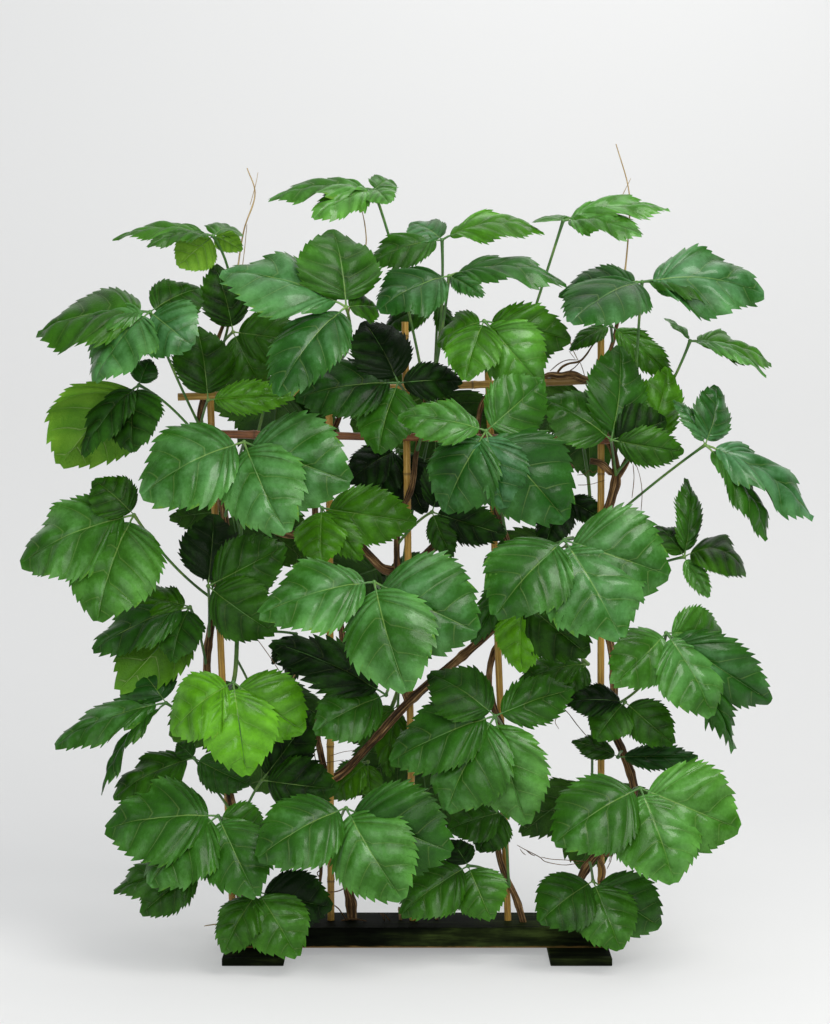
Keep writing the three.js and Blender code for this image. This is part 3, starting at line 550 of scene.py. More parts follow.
# A piece is gathered as lumps of points and faces, then made into one mesh.
class Gathered:
    def __init__(self, looks, attributes):
        self.looks = looks
        self.points, self.faces, self.lookOfFace, self.count = [], [], [], 0
        self.attributes = {name: [] for name in attributes}

    # An attribute is one number, a number for each point, or a vector for each point.
    def add(self, points, faces, look, **values):
        start = self.count
        self.points.append(np.asarray(points, dtype=float))
        for name, rows in self.attributes.items():
            given = np.asarray(values.get(name, 0), dtype=float)
            given = given[:, None] if given.ndim == 1 else given
            rows.append(np.broadcast_to(given, (len(points), 3)))
        self.count += len(points)
        self.addFaces(faces, look, start)
        return start

    def addFaces(self, faces, look, start):
        for block in faces:
            self.faces.extend((np.asarray(block, dtype=int) + start).tolist())
            self.lookOfFace.extend([self.looks.index(look)] * len(block))


sharpFrom = 62  # degrees between two faces


def makePiece(name, gathered, replaced=None):
    mesh = bpy.data.meshes.new(name)
    mesh.from_pydata(np.concatenate(gathered.points).tolist(), [], gathered.faces)
    for look in gathered.looks:
        mesh.materials.append(finishes[look])
    mesh.polygons.foreach_set("material_index", gathered.lookOfFace)
    for key, rows in gathered.attributes.items():
        layer = mesh.attributes.new(key, "FLOAT_VECTOR", "POINT")
        layer.data.foreach_set("vector", np.concatenate(rows).astype(np.float32).ravel())
    mesh.validate()
    mesh.shade_smooth()
    mesh.set_sharp_from_angle(angle=math.radians(sharpFrom))
    piece = bpy.data.objects.new(name, mesh)
    bpy.context.collection.objects.link(piece)
    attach(piece, "root")
    if replaced:
        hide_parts(replaced)


splineSamples = 200


# Curves. The woody stems run on the same centripetal splines as in the part's source.
class Spline:
    def __init__(self, points):
        self.points = points
        marks = [self.at(i / splineSamples) for i in range(splineSamples + 1)]
        self.lengths = np.concatenate([[0], np.cumsum([(b - a).length for a, b in zip(marks, marks[1:])])])
        self.length = self.lengths[-1]

    def at(self, t):
        points, last = self.points, len(self.points) - 1
        span = t * last
        i = min(int(span), last - 1)
        weight = span - i
        p1, p2 = points[i], points[i + 1]
        p0 = points[i - 1] if i > 0 else p1 * 2 - p2
        p3 = points[i + 2] if i + 2 <= last else p2 * 2 - p1
        d0, d1, d2 = [max((b - a).length, 1e-9) ** 0.5 for a, b in ((p0, p1), (p1, p2), (p2, p3))]
        t1 = ((p1 - p0) / d0 - (p2 - p0) / (d0 + d1) + (p2 - p1) / d1) * d1
        t2 = ((p2 - p1) / d1 - (p3 - p1) / (d1 + d2) + (p3 - p2) / d2) * d1
        c2 = p1 * -3 + p2 * 3 - t1 * 2 - t2
        c3 = p1 * 2 - p2 * 2 + t1 + t2
        return p1 + t1 * weight + c2 * weight ** 2 + c3 * weight ** 3

    def along(self, share):
        t = np.interp(share * self.length, self.lengths, np.linspace(0, 1, splineSamples + 1))
        return self.at(float(t))

    def spaced(self, count):
        return [self.along(i / count) for i in range(count + 1)]


def bezier(root, bend, hub, count):
    places = []
    for i in range(count + 1):
        t = i / count
        places.append(root * (1 - t) ** 2 + bend * (2 * t * (1 - t)) + hub * t ** 2)
    return places


# Fibres change fast round a stem and slowly along it.
grainScale = {"round": 3, "alongStem": 22, "alongCane": 9}


def grainAt(turn, run, along):
    return math.cos(turn) * grainScale["round"], math.sin(turn) * grainScale["round"], run * along


# Noise on the skin of a stem: its rate round the stem, and its rate along it.
def skinNoise(turn, run, rates, phase):
    around, along = rates
    return noise.noise(Vector((math.cos(turn) * around, math.sin(turn) * around, run * along + phase)))


# Quads between rings of points. Two more points follow the rings, and close the first and last.
def ringFaces(rings, sides):
    k = np.arange(sides)
    nextK = (k + 1) % sides
    last = (rings - 1) * sides
    quads = []
    for low in range(0, last, sides):
        high = low + sides
        quads.append(np.stack([low + k, low + nextK, high + nextK, high + k], axis=1))
    closing = rings * sides
    return quads + [np.stack([np.full(sides, closing), nextK, k], axis=1),
                    np.stack([np.full(sides, closing + 1), last + k, last + nextK], axis=1)]


# A closed tube through points. shape(run, turn) may scale each radius.
def tubeMesh(path, radii, sides, shape=None):
    last = len(path) - 1
    tangents = [(path[min(i + 1, last)] - path[max(i - 1, 0)]).normalized() for i in range(len(path))]
    normal = tangents[0].orthogonal().normalized()
    points, grain = [], []
    run, along = 0, grainScale["alongStem"]
    for i, (centre, radius) in enumerate(zip(path, radii)):
        if i:
            run += (centre - path[i - 1]).length
            normal = tangents[i - 1].rotation_difference(tangents[i]) @ normal
        normal = (normal - tangents[i] * normal.dot(tangents[i])).normalized()
        across = tangents[i].cross(normal)
        for k in range(sides):
            turn = fullTurn * k / sides
            scale = shape(run, turn) if shape else 1
            points.append(centre + (normal * math.cos(turn) + across * math.sin(turn)) * radius * scale)
            grain.append(grainAt(turn, run, along))
    points += [path[0], path[-1]]
    grain += [(0, 0, 0), (0, 0, run * along)]
    return np.array([tuple(p) for p in points]), ringFaces(len(path), sides), np.array(grain)


# What every bamboo stick has, in millimetres and as shares of its radius.
stickSettings = {
    "sides": 18, "step": 16, "endScale": 0.97, "endMargin": 6, "phase": 50,
    "bow": 0.7, "bowRate": 0.006, "uneven": 0.03, "unevenRate": 0.01,
    # Noise lanes of the bow, of the bow across it, and of the thickness.
    "lanes": (0, 9, 4),
    # A joint: place along it, radius, and how dark it is.
    "joint": [(-9, 1.0, 0), (-4, 1.02, 0), (-1.2, 1.13, 1), (0, 1.02, 1), (1.6, 1.15, 0), (4.5, 1.05, 0),
              (9, 0.97, 0)],
    "firstJoint": (0.4, 3.5), "jointMargin": 12, "jointRoom": 14,
    # The end is cut square and shows the bore: rise, radius, and how dark it is, which is painted shade deep
    # in the bore.
    "end": [(0.2, 0.9, 0), (0.1, 0.52, 0.5), (-9, 0.52, 1)],
    "fibres": (1, 30), "fibreDepth": 0.015,
    "bark": (1.5, 90), "barkDepth": 0.22, "barkThickness": 1.05,
}

# Canes: the pixels of their feet and heads.
caneSettings = {
    "radius": 5.5, "jointSpacing": 215, "sunk": 26,
    "places": {
        "cane_far_left": ((233, 921), (208, 352)),
        "cane_left": ((331, 921), (329, 366)),
        "cane_middle": ((413, 921), (405, 322)),
        "cane_right": ((508, 921), (487, 340)),
        "cane_far_right": ((601, 921), (601, 332)),
    },
}

# Crossbars: the pixels of their ends, finish, and where bark roughens and darkens them.
railSettings = {
    "radius": 5.9, "jointSpacing": 190, "out": 10.2,
    "places": {
        "rail_upper": ((178, 397), (596, 380), "paleBamboo", 560, 560),
        "rail_lower": ((204, 434), (612, 440), "brownBamboo", 0, math.inf),
    },
}


# Stations along a stick: plain steps, and the profile of each joint.
def stickStations(length, spacing):
    stations = {0.0: (1.0, 0), length: (stickSettings["endScale"], 0)}
    share, shift = stickSettings["firstJoint"]
    joints = []
    at = spacing * share + shift
    while at < length - stickSettings["jointMargin"]:
        joints.append(at)
        for offset, scale, mark in stickSettings["joint"]:
            stations[at + offset] = (scale, mark)
        at += spacing
    plain = stickSettings["step"]
    while plain < length - stickSettings["endMargin"]:
        if all(abs(plain - joint) > stickSettings["jointRoom"] for joint in joints):
            stations[plain] = (1.0, 0)
        plain += stickSettings["step"]
    return sorted(stations.items())


# Like a tube, with one direction all along, so that the bore at its end can turn back inside.
def stickMesh(path, radii, marks, shape, direction):
    sides = stickSettings["sides"]
    normal = direction.orthogonal().normalized()
    across = direction.cross(normal)
    points, grain, dark = [], [], []
    for centre, radius, mark in zip(path, radii, marks):
        run = (centre - path[0]).dot(direction)
        for k in range(sides):
            turn = fullTurn * k / sides
            outward = normal * math.cos(turn) + across * math.sin(turn)
            points.append(centre + outward * radius * shape(run, turn))
            grain.append(grainAt(turn, run, grainScale["alongCane"]))
            dark.append(mark)
    points += [path[0], path[-1]]
    grain += [(0, 0, 0), (0, 0, 0)]
    # The point at the bottom of the bore is painted dark, as shade.
    dark += [0, 1]
    return np.array([tuple(p) for p in points]), ringFaces(len(path), sides), np.array(grain), np.array(dark)


def makeStick(name, look, start, end, settings, roughFrom=math.inf, darkFrom=math.inf):
    radius = settings["radius"]
    direction = (end - start).normalized()
    aside = direction.orthogonal().normalized()
    phase = random.Random(name).random() * stickSettings["phase"]

    def wander(at, rate, lane):
        return noise.noise(Vector((at * rate, phase, lane)))

    bowLane, leanLane, thickLane = stickSettings["lanes"]
    path, radii, marks = [], [], []
    for at, (scale, mark) in stickStations((end - start).length / mm, settings["jointSpacing"]):
        bow = wander(at, stickSettings["bowRate"], bowLane) * stickSettings["bow"] * mm
        lean = wander(at, stickSettings["bowRate"], leanLane) * stickSettings["bow"] * mm
        path.append(start + direction * at * mm + aside * bow + direction.cross(aside) * lean)
        uneven = 1 + stickSettings["uneven"] * wander(at, stickSettings["unevenRate"], thickLane)
        radii.append(radius * mm * scale * uneven)
        marks.append(mark)
    tip, tipRadius = path[-1], radii[-1]
    for rise, scale, mark in stickSettings["end"]:
        path.append(tip + direction * rise * mm)
        radii.append(tipRadius * scale)
        marks.append(mark)

    def skin(run, turn):
        if run / mm < roughFrom:
            return 1 + stickSettings["fibreDepth"] * skinNoise(turn, run, stickSettings["fibres"], phase)
        lump = skinNoise(turn, run, stickSettings["bark"], phase)
        return stickSettings["barkThickness"] + stickSettings["barkDepth"] * lump

    points, faces, grain, dark = stickMesh(path, radii, marks, skin, direction)
    run = (points[:, 0] - points[0, 0]) / mm
    dark = np.where(run > darkFrom, 1.0, dark)
    stick = Gathered([look], ["grain", "dry"])
    stick.add(points, faces, look, grain=grain, dry=dark)
    makePiece(f"bamboo_{name}", stick, name)


caneLines = {}
for name, (bottom, top) in caneSettings["places"].items():
    start, end = seen(*bottom, 0), seen(*top, 0)
    direction = (end - start).normalized()
    start += direction * ((boardTop - caneSettings["sunk"] * mm - start.z) / direction.z)
    caneLines[name] = (start, end)


def makeTrellis():
    for name, (start, end) in caneLines.items():
        makeStick(name, "paleBamboo", start, end, caneSettings)
    for name, (left, right, look, roughFrom, darkFrom) in railSettings["places"].items():
        start, end = seen(*left, railSettings["out"]), seen(*right, railSettings["out"])
        makeStick(name, look, start, end, railSettings, roughFrom, darkFrom)


# Woody stems: pixel x and y, millimetres out, radius in millimetres.
vinePlaces = {
    "vine_left": [
        [(244, 922, 4, 8), (240, 880, 6, 7.5), (231, 800, 14, 7), (221, 760, 6, 6.5), (212, 720, -12, 6.5),
         (207, 670, -16, 6.5), (209, 640, -14, 6), (218, 590, 13, 6), (226, 545, 16, 6), (222, 500, 14, 6),
         (214, 470, 4, 5.5), (204, 440, -12, 5.5), (200, 415, -16, 5), (206, 390, -16, 4.5),
         (216, 345, -10, 3.5), (232, 300, -6, 2.4), (244, 230, 0, 2), (255, 193, 2, 1.8),
         (247, 168, 4, 1.3)],
        [(222, 498, 14, 5.5), (250, 515, -4, 6), (280, 532, -18, 6.5), (322, 537, -22, 6.5),
         (352, 538, -16, 6.5), (369, 555, -8, 6.5), (387, 570, -18, 6.5), (414, 563, -26, 6.5),
         (440, 542, -28, 7), (457, 530, -30, 6.5), (486, 519, -26, 6), (515, 509, -18, 5.5),
         (545, 490, -8, 5.5), (572, 465, 2, 6)],
    ],
    "vine_middle": [
        [(352, 922, -8, 8.5), (351, 902, -6, 8), (345, 880, 0, 6.5), (338, 860, 12, 6.5),
         (331, 845, 15, 6.5), (324, 822, 12, 6), (321, 800, 2, 6), (325, 778, -10, 6), (321, 755, -10, 5),
         (317, 732, -4, 5), (323, 705, 8, 5), (338, 680, 14, 5), (344, 655, 6, 5), (341, 625, -8, 5),
         (334, 590, -14, 5), (320, 570, -6, 5), (315, 510, 2, 5), (318, 470, -11, 4.8),
         (326, 444, -16, 4.5), (338, 420, -15, 4.3), (344, 392, -13, 4), (340, 360, -12, 3.8)],
        [(325, 784, -8, 6), (345, 771, -12, 6.5), (363, 752, 0, 6.5), (378, 736, 8, 6.5), (396, 715, 14, 7),
         (414, 697, 17, 7), (433, 680, 14, 7), (453, 664, 8, 7), (475, 645, 6, 7), (492, 629, 14, 7),
         (514, 606, 18, 6.5), (540, 592, 8, 6), (560, 580, 4, 5.5), (576, 560, 2, 5)],
        [(408, 703, 16, 5.5), (400, 672, 6, 5), (398, 640, -2, 5), (399, 600, -4, 5), (397, 560, 3, 4.8),
         (399, 520, 6, 4.8), (412, 486, 16, 4.5), (416, 455, 14, 4.2), (422, 425, -8, 4),
         (426, 396, -10, 3.5)],
    ],
    "vine_right": [
        [(527, 922, 10, 5.5), (516, 898, 10, 5), (504, 872, 12, 5), (498, 848, 2, 5), (501, 818, -14, 5),
         (514, 795, -12, 5), (518, 770, 2, 5), (510, 742, 14, 5.5), (496, 714, 14, 5.5), (489, 685, 0, 5),
         (493, 655, -14, 5), (510, 625, -14, 5), (517, 590, -6, 5), (512, 555, 12, 5), (500, 520, 14, 4.5),
         (486, 480, 8, 4.5), (478, 445, -8, 4), (482, 405, -16, 4), (500, 380, -14, 4), (520, 355, -8, 3.5)],
    ],
    "vine_far_right": [
        [(571, 922, 4, 7), (575, 895, 6, 6.5), (585, 870, 12, 6.5), (599, 852, 16, 6.5), (614, 840, 8, 6.5),
         (622, 815, 2, 6.5), (634, 792, 2, 6.5), (631, 774, 2, 6.5), (622, 750, 0, 6.5),
         (614, 730, -4, 6.5), (614, 700, -8, 6.5), (613, 660, -12, 6.5), (606, 625, -15, 6.5),
         (598, 590, -10, 6.5), (594, 560, 4, 6.5), (602, 530, 15, 7), (611, 500, 12, 7.5), (616, 478, 4, 7),
         (614, 455, -4, 5.5), (604, 430, -15, 5), (596, 405, -14, 4.5), (598, 380, -14, 4),
         (612, 345, -10, 3.4), (621, 300, -4, 2.6), (628, 240, 0, 2.1), (629, 192, 2, 1.8),
         (616, 144, 4, 1.3)],
        [(614, 482, 4, 6), (622, 470, 2, 5.5), (629, 456, 2, 5), (634, 440, 0, 4)],
        [(612, 474, 4, 5.5), (600, 463, 16, 5), (590, 461, 18, 5)],
    ],
}

# Lengths are in metres, and sunk is in millimetres.
barkSettings = {
    "sides": 14, "step": 0.0045, "sunk": 22, "phase": 40, "woodMarks": 160,
    # A stem that starts below this row of pixels stands in the board.
    "soilRow": 912,
    "ridge": 0.17, "twist": 14, "broad": (1.3, 16), "fine": (3.2, 60), "fineShare": 0.55,
    "firstKnot": (0.02, 0.06), "knotEvery": (0.07, 0.14), "lastKnot": 0.02,
    "knotSwell": 0.2, "knotLength": 0.007, "forkThin": 0.5,
    # The dry leaders shrink and turn pale above a height.
    "shrink": 0.42, "shrinkFrom": 0.95, "shrinkOver": 0.12, "paleFrom": 1.0, "paleTo": 1.06,
}

vineCurves = {}
for name, paths in vinePlaces.items():
    for path in paths:
        points = [seen(x, y, out) for x, y, out, _ in path]
        if path[0][1] > barkSettings["soilRow"]:
            points[0].z = boardTop - barkSettings["sunk"] * mm
        vineCurves.setdefault(name, []).append((Spline(points), path))

# Points on the wood, where petioles and shoots take root.
woodPoints = []
for curves in vineCurves.values():
    for spline, _ in curves:
        woodPoints += spline.spaced(barkSettings["woodMarks"])


def stemRadiusAt(spline, path, share):
    chords = [0] + [(b - a).length for a, b in zip(spline.points, spline.points[1:])]
    return float(np.interp(share * sum(chords), np.cumsum(chords), [row[3] for row in path])) * mm


def knotsAlong(length, draw):
    knots = []
    at = draw.uniform(*barkSettings["firstKnot"])
    while at < length - barkSettings["lastKnot"]:
        knots.append(at)
        at += draw.uniform(*barkSettings["knotEvery"])
    return knots


# A stem swells at its knots, starts thin where it forks off, and shrinks where it is dry.
def stemRadii(spline, path, line, knots, forked):
    radii = []
    count = len(line) - 1
    for i, centre in enumerate(line):
        run = spline.length * i / count
        swell = sum(math.exp(-((run - knot) / barkSettings["knotLength"]) ** 2) for knot in knots)
        thin = barkSettings["forkThin"] if forked and i == 0 else 1
        rise = (centre.z - barkSettings["shrinkFrom"]) / barkSettings["shrinkOver"]
        thin -= barkSettings["shrink"] * min(1, max(0, rise))
        plain = stemRadiusAt(spline, path, i / count)
        radii.append(plain * (1 + barkSettings["knotSwell"] * swell) * thin)
    return radii


def makeVines():
    for name, curves in vineCurves.items():
        stem = Gathered(["vineBark"], ["grain", "dry"])
        for index, (spline, path) in enumerate(curves):
            draw = random.Random(f"{name}{index}")
            phase = draw.random() * barkSettings["phase"]
            line = spline.spaced(int(spline.length / barkSettings["step"]))
            radii = stemRadii(spline, path, line, knotsAlong(spline.length, draw), index > 0)

            def ridges(run, turn):
                bent = turn + run * barkSettings["twist"]
                broad = skinNoise(bent, run, barkSettings["broad"], phase)
                fine = skinNoise(bent, run, barkSettings["fine"], phase)
                return 1 + barkSettings["ridge"] * (broad + barkSettings["fineShare"] * fine)

            points, faces, grain = tubeMesh(line, radii, barkSettings["sides"], ridges)
            low, high = barkSettings["paleFrom"], barkSettings["paleTo"]
            dry = np.clip((points[:, 2] - low) / (high - low), 0, 1)
            stem.add(points, faces, "vineBark", grain=grain, dry=dry)
        makePiece(f"bark_{name}", stem, name)


twigSettings = {
    "step": 0.0035, "leastSteps": 4, "endShare": 0.6, "ridge": 0.32, "rough": (1.4, 70), "phase": 40,
    "sides": 7, "thickSides": 12, "thickFrom": 0.002,
}

# Thin things that hang about the stems: pixel x and y, millimetres out, radius in millimetres.
twigPlaces = {
    "railBark": {"dry": 0, "paths": [
        [(540, 379, 12, 2), (549, 375, 13, 4.5), (560, 376, 14, 6), (571, 375, 14, 7), (582, 379, 14, 6.5),
         (590, 381, 13, 6), (597, 381, 12, 3)],
        [(557, 373, 14, 2.0), (562, 367, 16, 1.9), (568, 364, 18, 1.7), (580, 361, 18, 1.8),
         (586, 355, 16, 1.6), (592, 346, 10, 1.3), (598, 338, 6, 1.0)],
        [(550, 371, 14, 0.7), (560, 363, 18, 0.8), (568, 360, 19, 0.8), (577, 360, 18, 0.8)],
        [(569, 371, 16, 0.8), (574, 368, 17, 0.9), (580, 362, 18, 0.7)],
        [(580, 362, 18, 0.6), (583, 370, 16, 0.6), (585, 378, 13, 0.6)],
        [(590, 385, 13, 0.9), (594, 396, 10, 0.7), (598, 407, 6, 0.6)],
        [(498, 377, 12, 1.5), (512, 374, 14, 3), (526, 375, 14, 3.5), (540, 377, 13, 2.5)],
    ]},
    "rootTwigs": {"dry": 0, "paths": [
        [(331, 845, 16, 3.4), (324, 852, 18, 3.3), (321, 861, 18, 3.2), (321, 870, 16, 2.8),
         (320, 882, 12, 2.4), (317, 902, 6, 2.2), (315, 922, 0, 2.2)],
        [(321, 870, 16, 1.0), (317, 873, 18, 0.8), (320, 878, 16, 0.8)],
        [(603, 846, 16, 2.0), (606, 856, 20, 3.4), (611, 850, 20, 3.2), (611, 840, 14, 2.8),
         (613, 832, 8, 2.2)],
        [(598, 857, 14, 2.2), (603, 866, 18, 3.2), (604, 874, 16, 3.2), (601, 884, 12, 2.4)],
        [(336, 670, 10, 1.6), (337, 680, 11, 1.8), (335, 693, 9, 1.5)],
        [(380, 913, 4, 0.8), (383, 916, 6, 1.1), (385, 922, 3, 0.9)],
        [(391, 922, 3, 0.8), (386, 916, 6, 0.9), (382, 913, 6, 0.7)],
        [(340, 921, 2, 1.2), (352, 919, 8, 1.6), (362, 920, 10, 1.1), (371, 923, 5, 0.7)],
    ]},
    "soilStubs": {"dry": 0.55, "paths": [
        [(399, 907, 0, 2.2), (400, 914, -1, 2.5), (401, 924, -2, 2.7)],
        [(416, 912, -6, 2.0), (418, 924, -6, 2.4)],
        [(436, 911, -4, 2.2), (437, 924, -4, 2.4)],
        [(310, 654, 32, 0.9), (305, 661, 32, 1.3), (300, 668, 32, 1.5), (295, 674, 32, 1.4),
         (291, 683, 30, 1.2)],
    ]},
    "darkTendrils": {"dry": 0, "paths": [
        [(577, 475, 18, 0.5), (585, 474, 20, 0.6), (590, 470, 18, 0.7), (593, 473, 20, 0.6),
         (598, 469, 18, 0.5)],
        [(578, 485, 14, 0.7), (583, 485, 16, 0.6), (592, 484, 16, 0.5), (605, 480, 12, 0.5)],
        [(633, 464, 22, 0.6), (634, 478, 24, 0.6), (632, 498, 22, 0.6)],
        [(636, 464, 24, 0.5), (640, 477, 26, 0.5), (642, 492, 26, 0.6), (641, 512, 24, 0.5)],
        [(517, 845, 16, 0.6), (524, 849, 18, 0.6), (532, 853, 20, 0.7), (541, 858, 20, 0.8),
         (544, 861, 20, 0.7), (556, 864, 18, 0.6), (566, 865, 16, 0.6), (580, 863, 14, 0.6)],
        [(541, 857, 20, 0.6), (550, 859, 20, 0.6), (565, 860, 18, 0.6), (588, 862, 14, 0.7)],
        [(520, 849, 17, 0.6), (523, 853, 19, 0.7), (526, 855, 17, 0.6)],
        [(527, 851, 17, 0.7), (531, 854, 19, 0.8), (535, 856, 17, 0.6)],
        [(253, 634, 34, 0.7), (260, 643, 34, 0.6), (270, 657, 32, 0.6), (278, 669, 30, 0.6),
         (283, 677, 28, 0.5)],
        [(312, 740, 24, 0.6), (314, 752, 26, 0.8), (316, 762, 24, 0.7), (318, 769, 22, 0.6)],
        [(312, 766, 20, 0.5), (320, 764, 22, 0.5), (330, 762, 20, 0.5), (344, 760, 16, 0.4)],
        [(330, 756, 18, 0.5), (343, 752, 18, 0.5), (356, 750, 14, 0.4)],
        [(326, 892, 14, 0.9), (333, 892, 16, 1.0), (341, 890, 14, 1.0), (347, 886, 8, 0.9)],
        [(334, 905, 12, 0.9), (339, 909, 11, 1.0), (343, 915, 8, 1.1), (348, 921, 4, 1.0)],
        [(553, 711, 34, 0.5), (557, 716, 36, 0.7), (555, 722, 34, 0.6), (559, 729, 34, 0.5)],
        [(559, 704, 28, 0.6), (568, 713, 30, 0.7), (578, 726, 28, 0.7), (591, 741, 22, 0.6)],
        [(620, 830, 24, 0.8), (616, 843, 24, 0.9), (612, 850, 24, 0.9), (611, 860, 22, 0.7),
         (607, 869, 20, 0.6)],
        [(616, 834, 22, 0.6), (613, 846, 26, 0.6), (609, 862, 24, 0.6)],
        [(569, 351, 20, 0.4), (575, 359, 19, 0.5)],
    ]},
    "paleTendrils": {"dry": 0.8, "paths": [
        [(565, 328, 22, 1.1), (569, 338, 22, 1.0), (573, 350, 20, 0.7), (579, 362, 18, 0.6)],
        [(204, 926, 44, 0.7), (210, 925, 44, 0.9), (217, 924, 44, 1.0)],
        [(250, 205, 3, 0.6), (256, 183, 4, 0.5), (258, 172, 5, 0.4)],
        [(622, 196, 4, 0.6), (631, 178, 5, 0.4)],
        [(340, 364, -12, 1.6), (347, 320, -14, 1.4), (358, 272, -8, 1.2), (366, 244, -2, 1.1),
         (365, 226, 0, 0.9), (361, 206, 4, 0.6)],
        [(228, 330, 10, 0.8), (236, 300, 12, 0.8), (243, 262, 10, 0.7), (247, 224, 6, 0.5)],
    ]},
}


def makeTwigs():
    for name, twigs in twigPlaces.items():
        bundle = Gathered(["vineBark"], ["grain", "dry"])
        for index, path in enumerate(twigs["paths"]):
            phase = random.Random(f"{name}{index}").random() * twigSettings["phase"]
            spline = Spline([seen(x, y, out) for x, y, out, _ in path])
            count = max(twigSettings["leastSteps"], int(spline.length / twigSettings["step"]))
            radii = []
            for i in range(count + 1):
                share = twigSettings["endShare"] if i in (0, count) else 1
                radii.append(stemRadiusAt(spline, path, i / count) * share)

            def rough(run, turn):
                return 1 + twigSettings["ridge"] * skinNoise(turn, run, twigSettings["rough"], phase)

            thick = max(radii) > twigSettings["thickFrom"]
            sides = twigSettings["thickSides"] if thick else twigSettings["sides"]
            points, faces, grain = tubeMesh(spline.spaced(count), radii, sides, rough)
            bundle.add(points, faces, "vineBark", grain=grain, dry=twigs["dry"])
        makePiece(f"twigs_{name}", bundle)


makeTrellis()
makeVines()
makeTwigs()
print("trellis, vines and twigs made")


# The base: a board on two feet, made from their CAD boxes with softened edges.
baseSettings = {
    "boards": ("base_board", "foot_left", "foot_right"),
    "bevel": 0.0016, "bevelSteps": 3, "bevelProfile": 0.6, "sharpFrom": 40,
    # A hole for every cane and stem: how far the cutters run down and up, in metres, and how much
    # wider they are, millimetres for a cane and a share for a stem.
    "boreSides": 24, "below": 0.001, "caneReach": 0.06, "stemReach": 0.05, "stemSteps": 5,
    "caneGap": 0.35, "stemScale": 1.16,
}


def roundedBox(name, low, high):
    mesh = bpy.data.meshes.new(name)
    solid = bmesh.new()
    bmesh.ops.create_cube(solid, size=1)
    for vertex in solid.verts:
        vertex.co = Vector([low[i] if vertex.co[i] < 0 else high[i] for i in range(3)])
    bmesh.ops.bevel(solid, geom=solid.edges[:], offset=baseSettings["bevel"],
                    segments=baseSettings["bevelSteps"], profile=baseSettings["bevelProfile"], affect="EDGES")
    solid.to_mesh(mesh)
    solid.free()
    return mesh


def makeCutter(name, line, radius):
    points, faces, _ = tubeMesh(line, [radius] * len(line), baseSettings["boreSides"])
    mesh = bpy.data.meshes.new(name)
    mesh.from_pydata(points.tolist(), [], [face for block in faces for face in block.tolist()])
    cutter = bpy.data.objects.new(name, mesh)
    bpy.context.collection.objects.link(cutter)
    return cutter


def makeCutters():
    cutters = []
    radius = (caneSettings["radius"] + baseSettings["caneGap"]) * mm
    for name, (start, end) in caneLines.items():
        direction = (end - start).normalized()
        line = [start - direction * baseSettings["below"], start + direction * baseSettings["caneReach"]]
        cutters.append(makeCutter(f"bore_{name}", line, radius))
    for name, curves in vineCurves.items():
        spline, path = curves[0]
        share, steps = baseSettings["stemReach"] / spline.length, baseSettings["stemSteps"]
        line = [spline.points[0] - up * baseSettings["below"]]
        line += [spline.along(share * i / steps) for i in range(1, steps + 1)]
        radius = path[0][3] * baseSettings["stemScale"] * mm
        cutters.append(makeCutter(f"bore_{name}", line, radius))
    return cutters


def boreHoles(piece):
    cutters = makeCutters()
    for cutter in cutters:
        cut = piece.modifiers.new(cutter.name, "BOOLEAN")
        cut.operation = "DIFFERENCE"
        cut.solver = "EXACT"
        cut.object = cutter
    bored = piece.evaluated_get(bpy.context.evaluated_depsgraph_get())
    mesh = bpy.data.meshes.new_from_object(bored)
    piece.modifiers.clear()
    piece.data = mesh
    for cutter in cutters:
        bpy.data.objects.remove(cutter)


def makeBase():
    for name in baseSettings["boards"]:
        mesh = roundedBox(f"stained_{name}", *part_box(name))
        mesh.materials.append(finishes["stainedBoard"])
        piece = bpy.data.objects.new(f"stained_{name}", mesh)
        bpy.context.collection.objects.link(piece)
        if name == "base_board":
            boreHoles(piece)
        piece.data.shade_smooth()
        piece.data.set_sharp_from_angle(angle=math.radians(baseSettings["sharpFrom"]))
        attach(piece, "root")
        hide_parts(name)


makeBase()
print("base made")


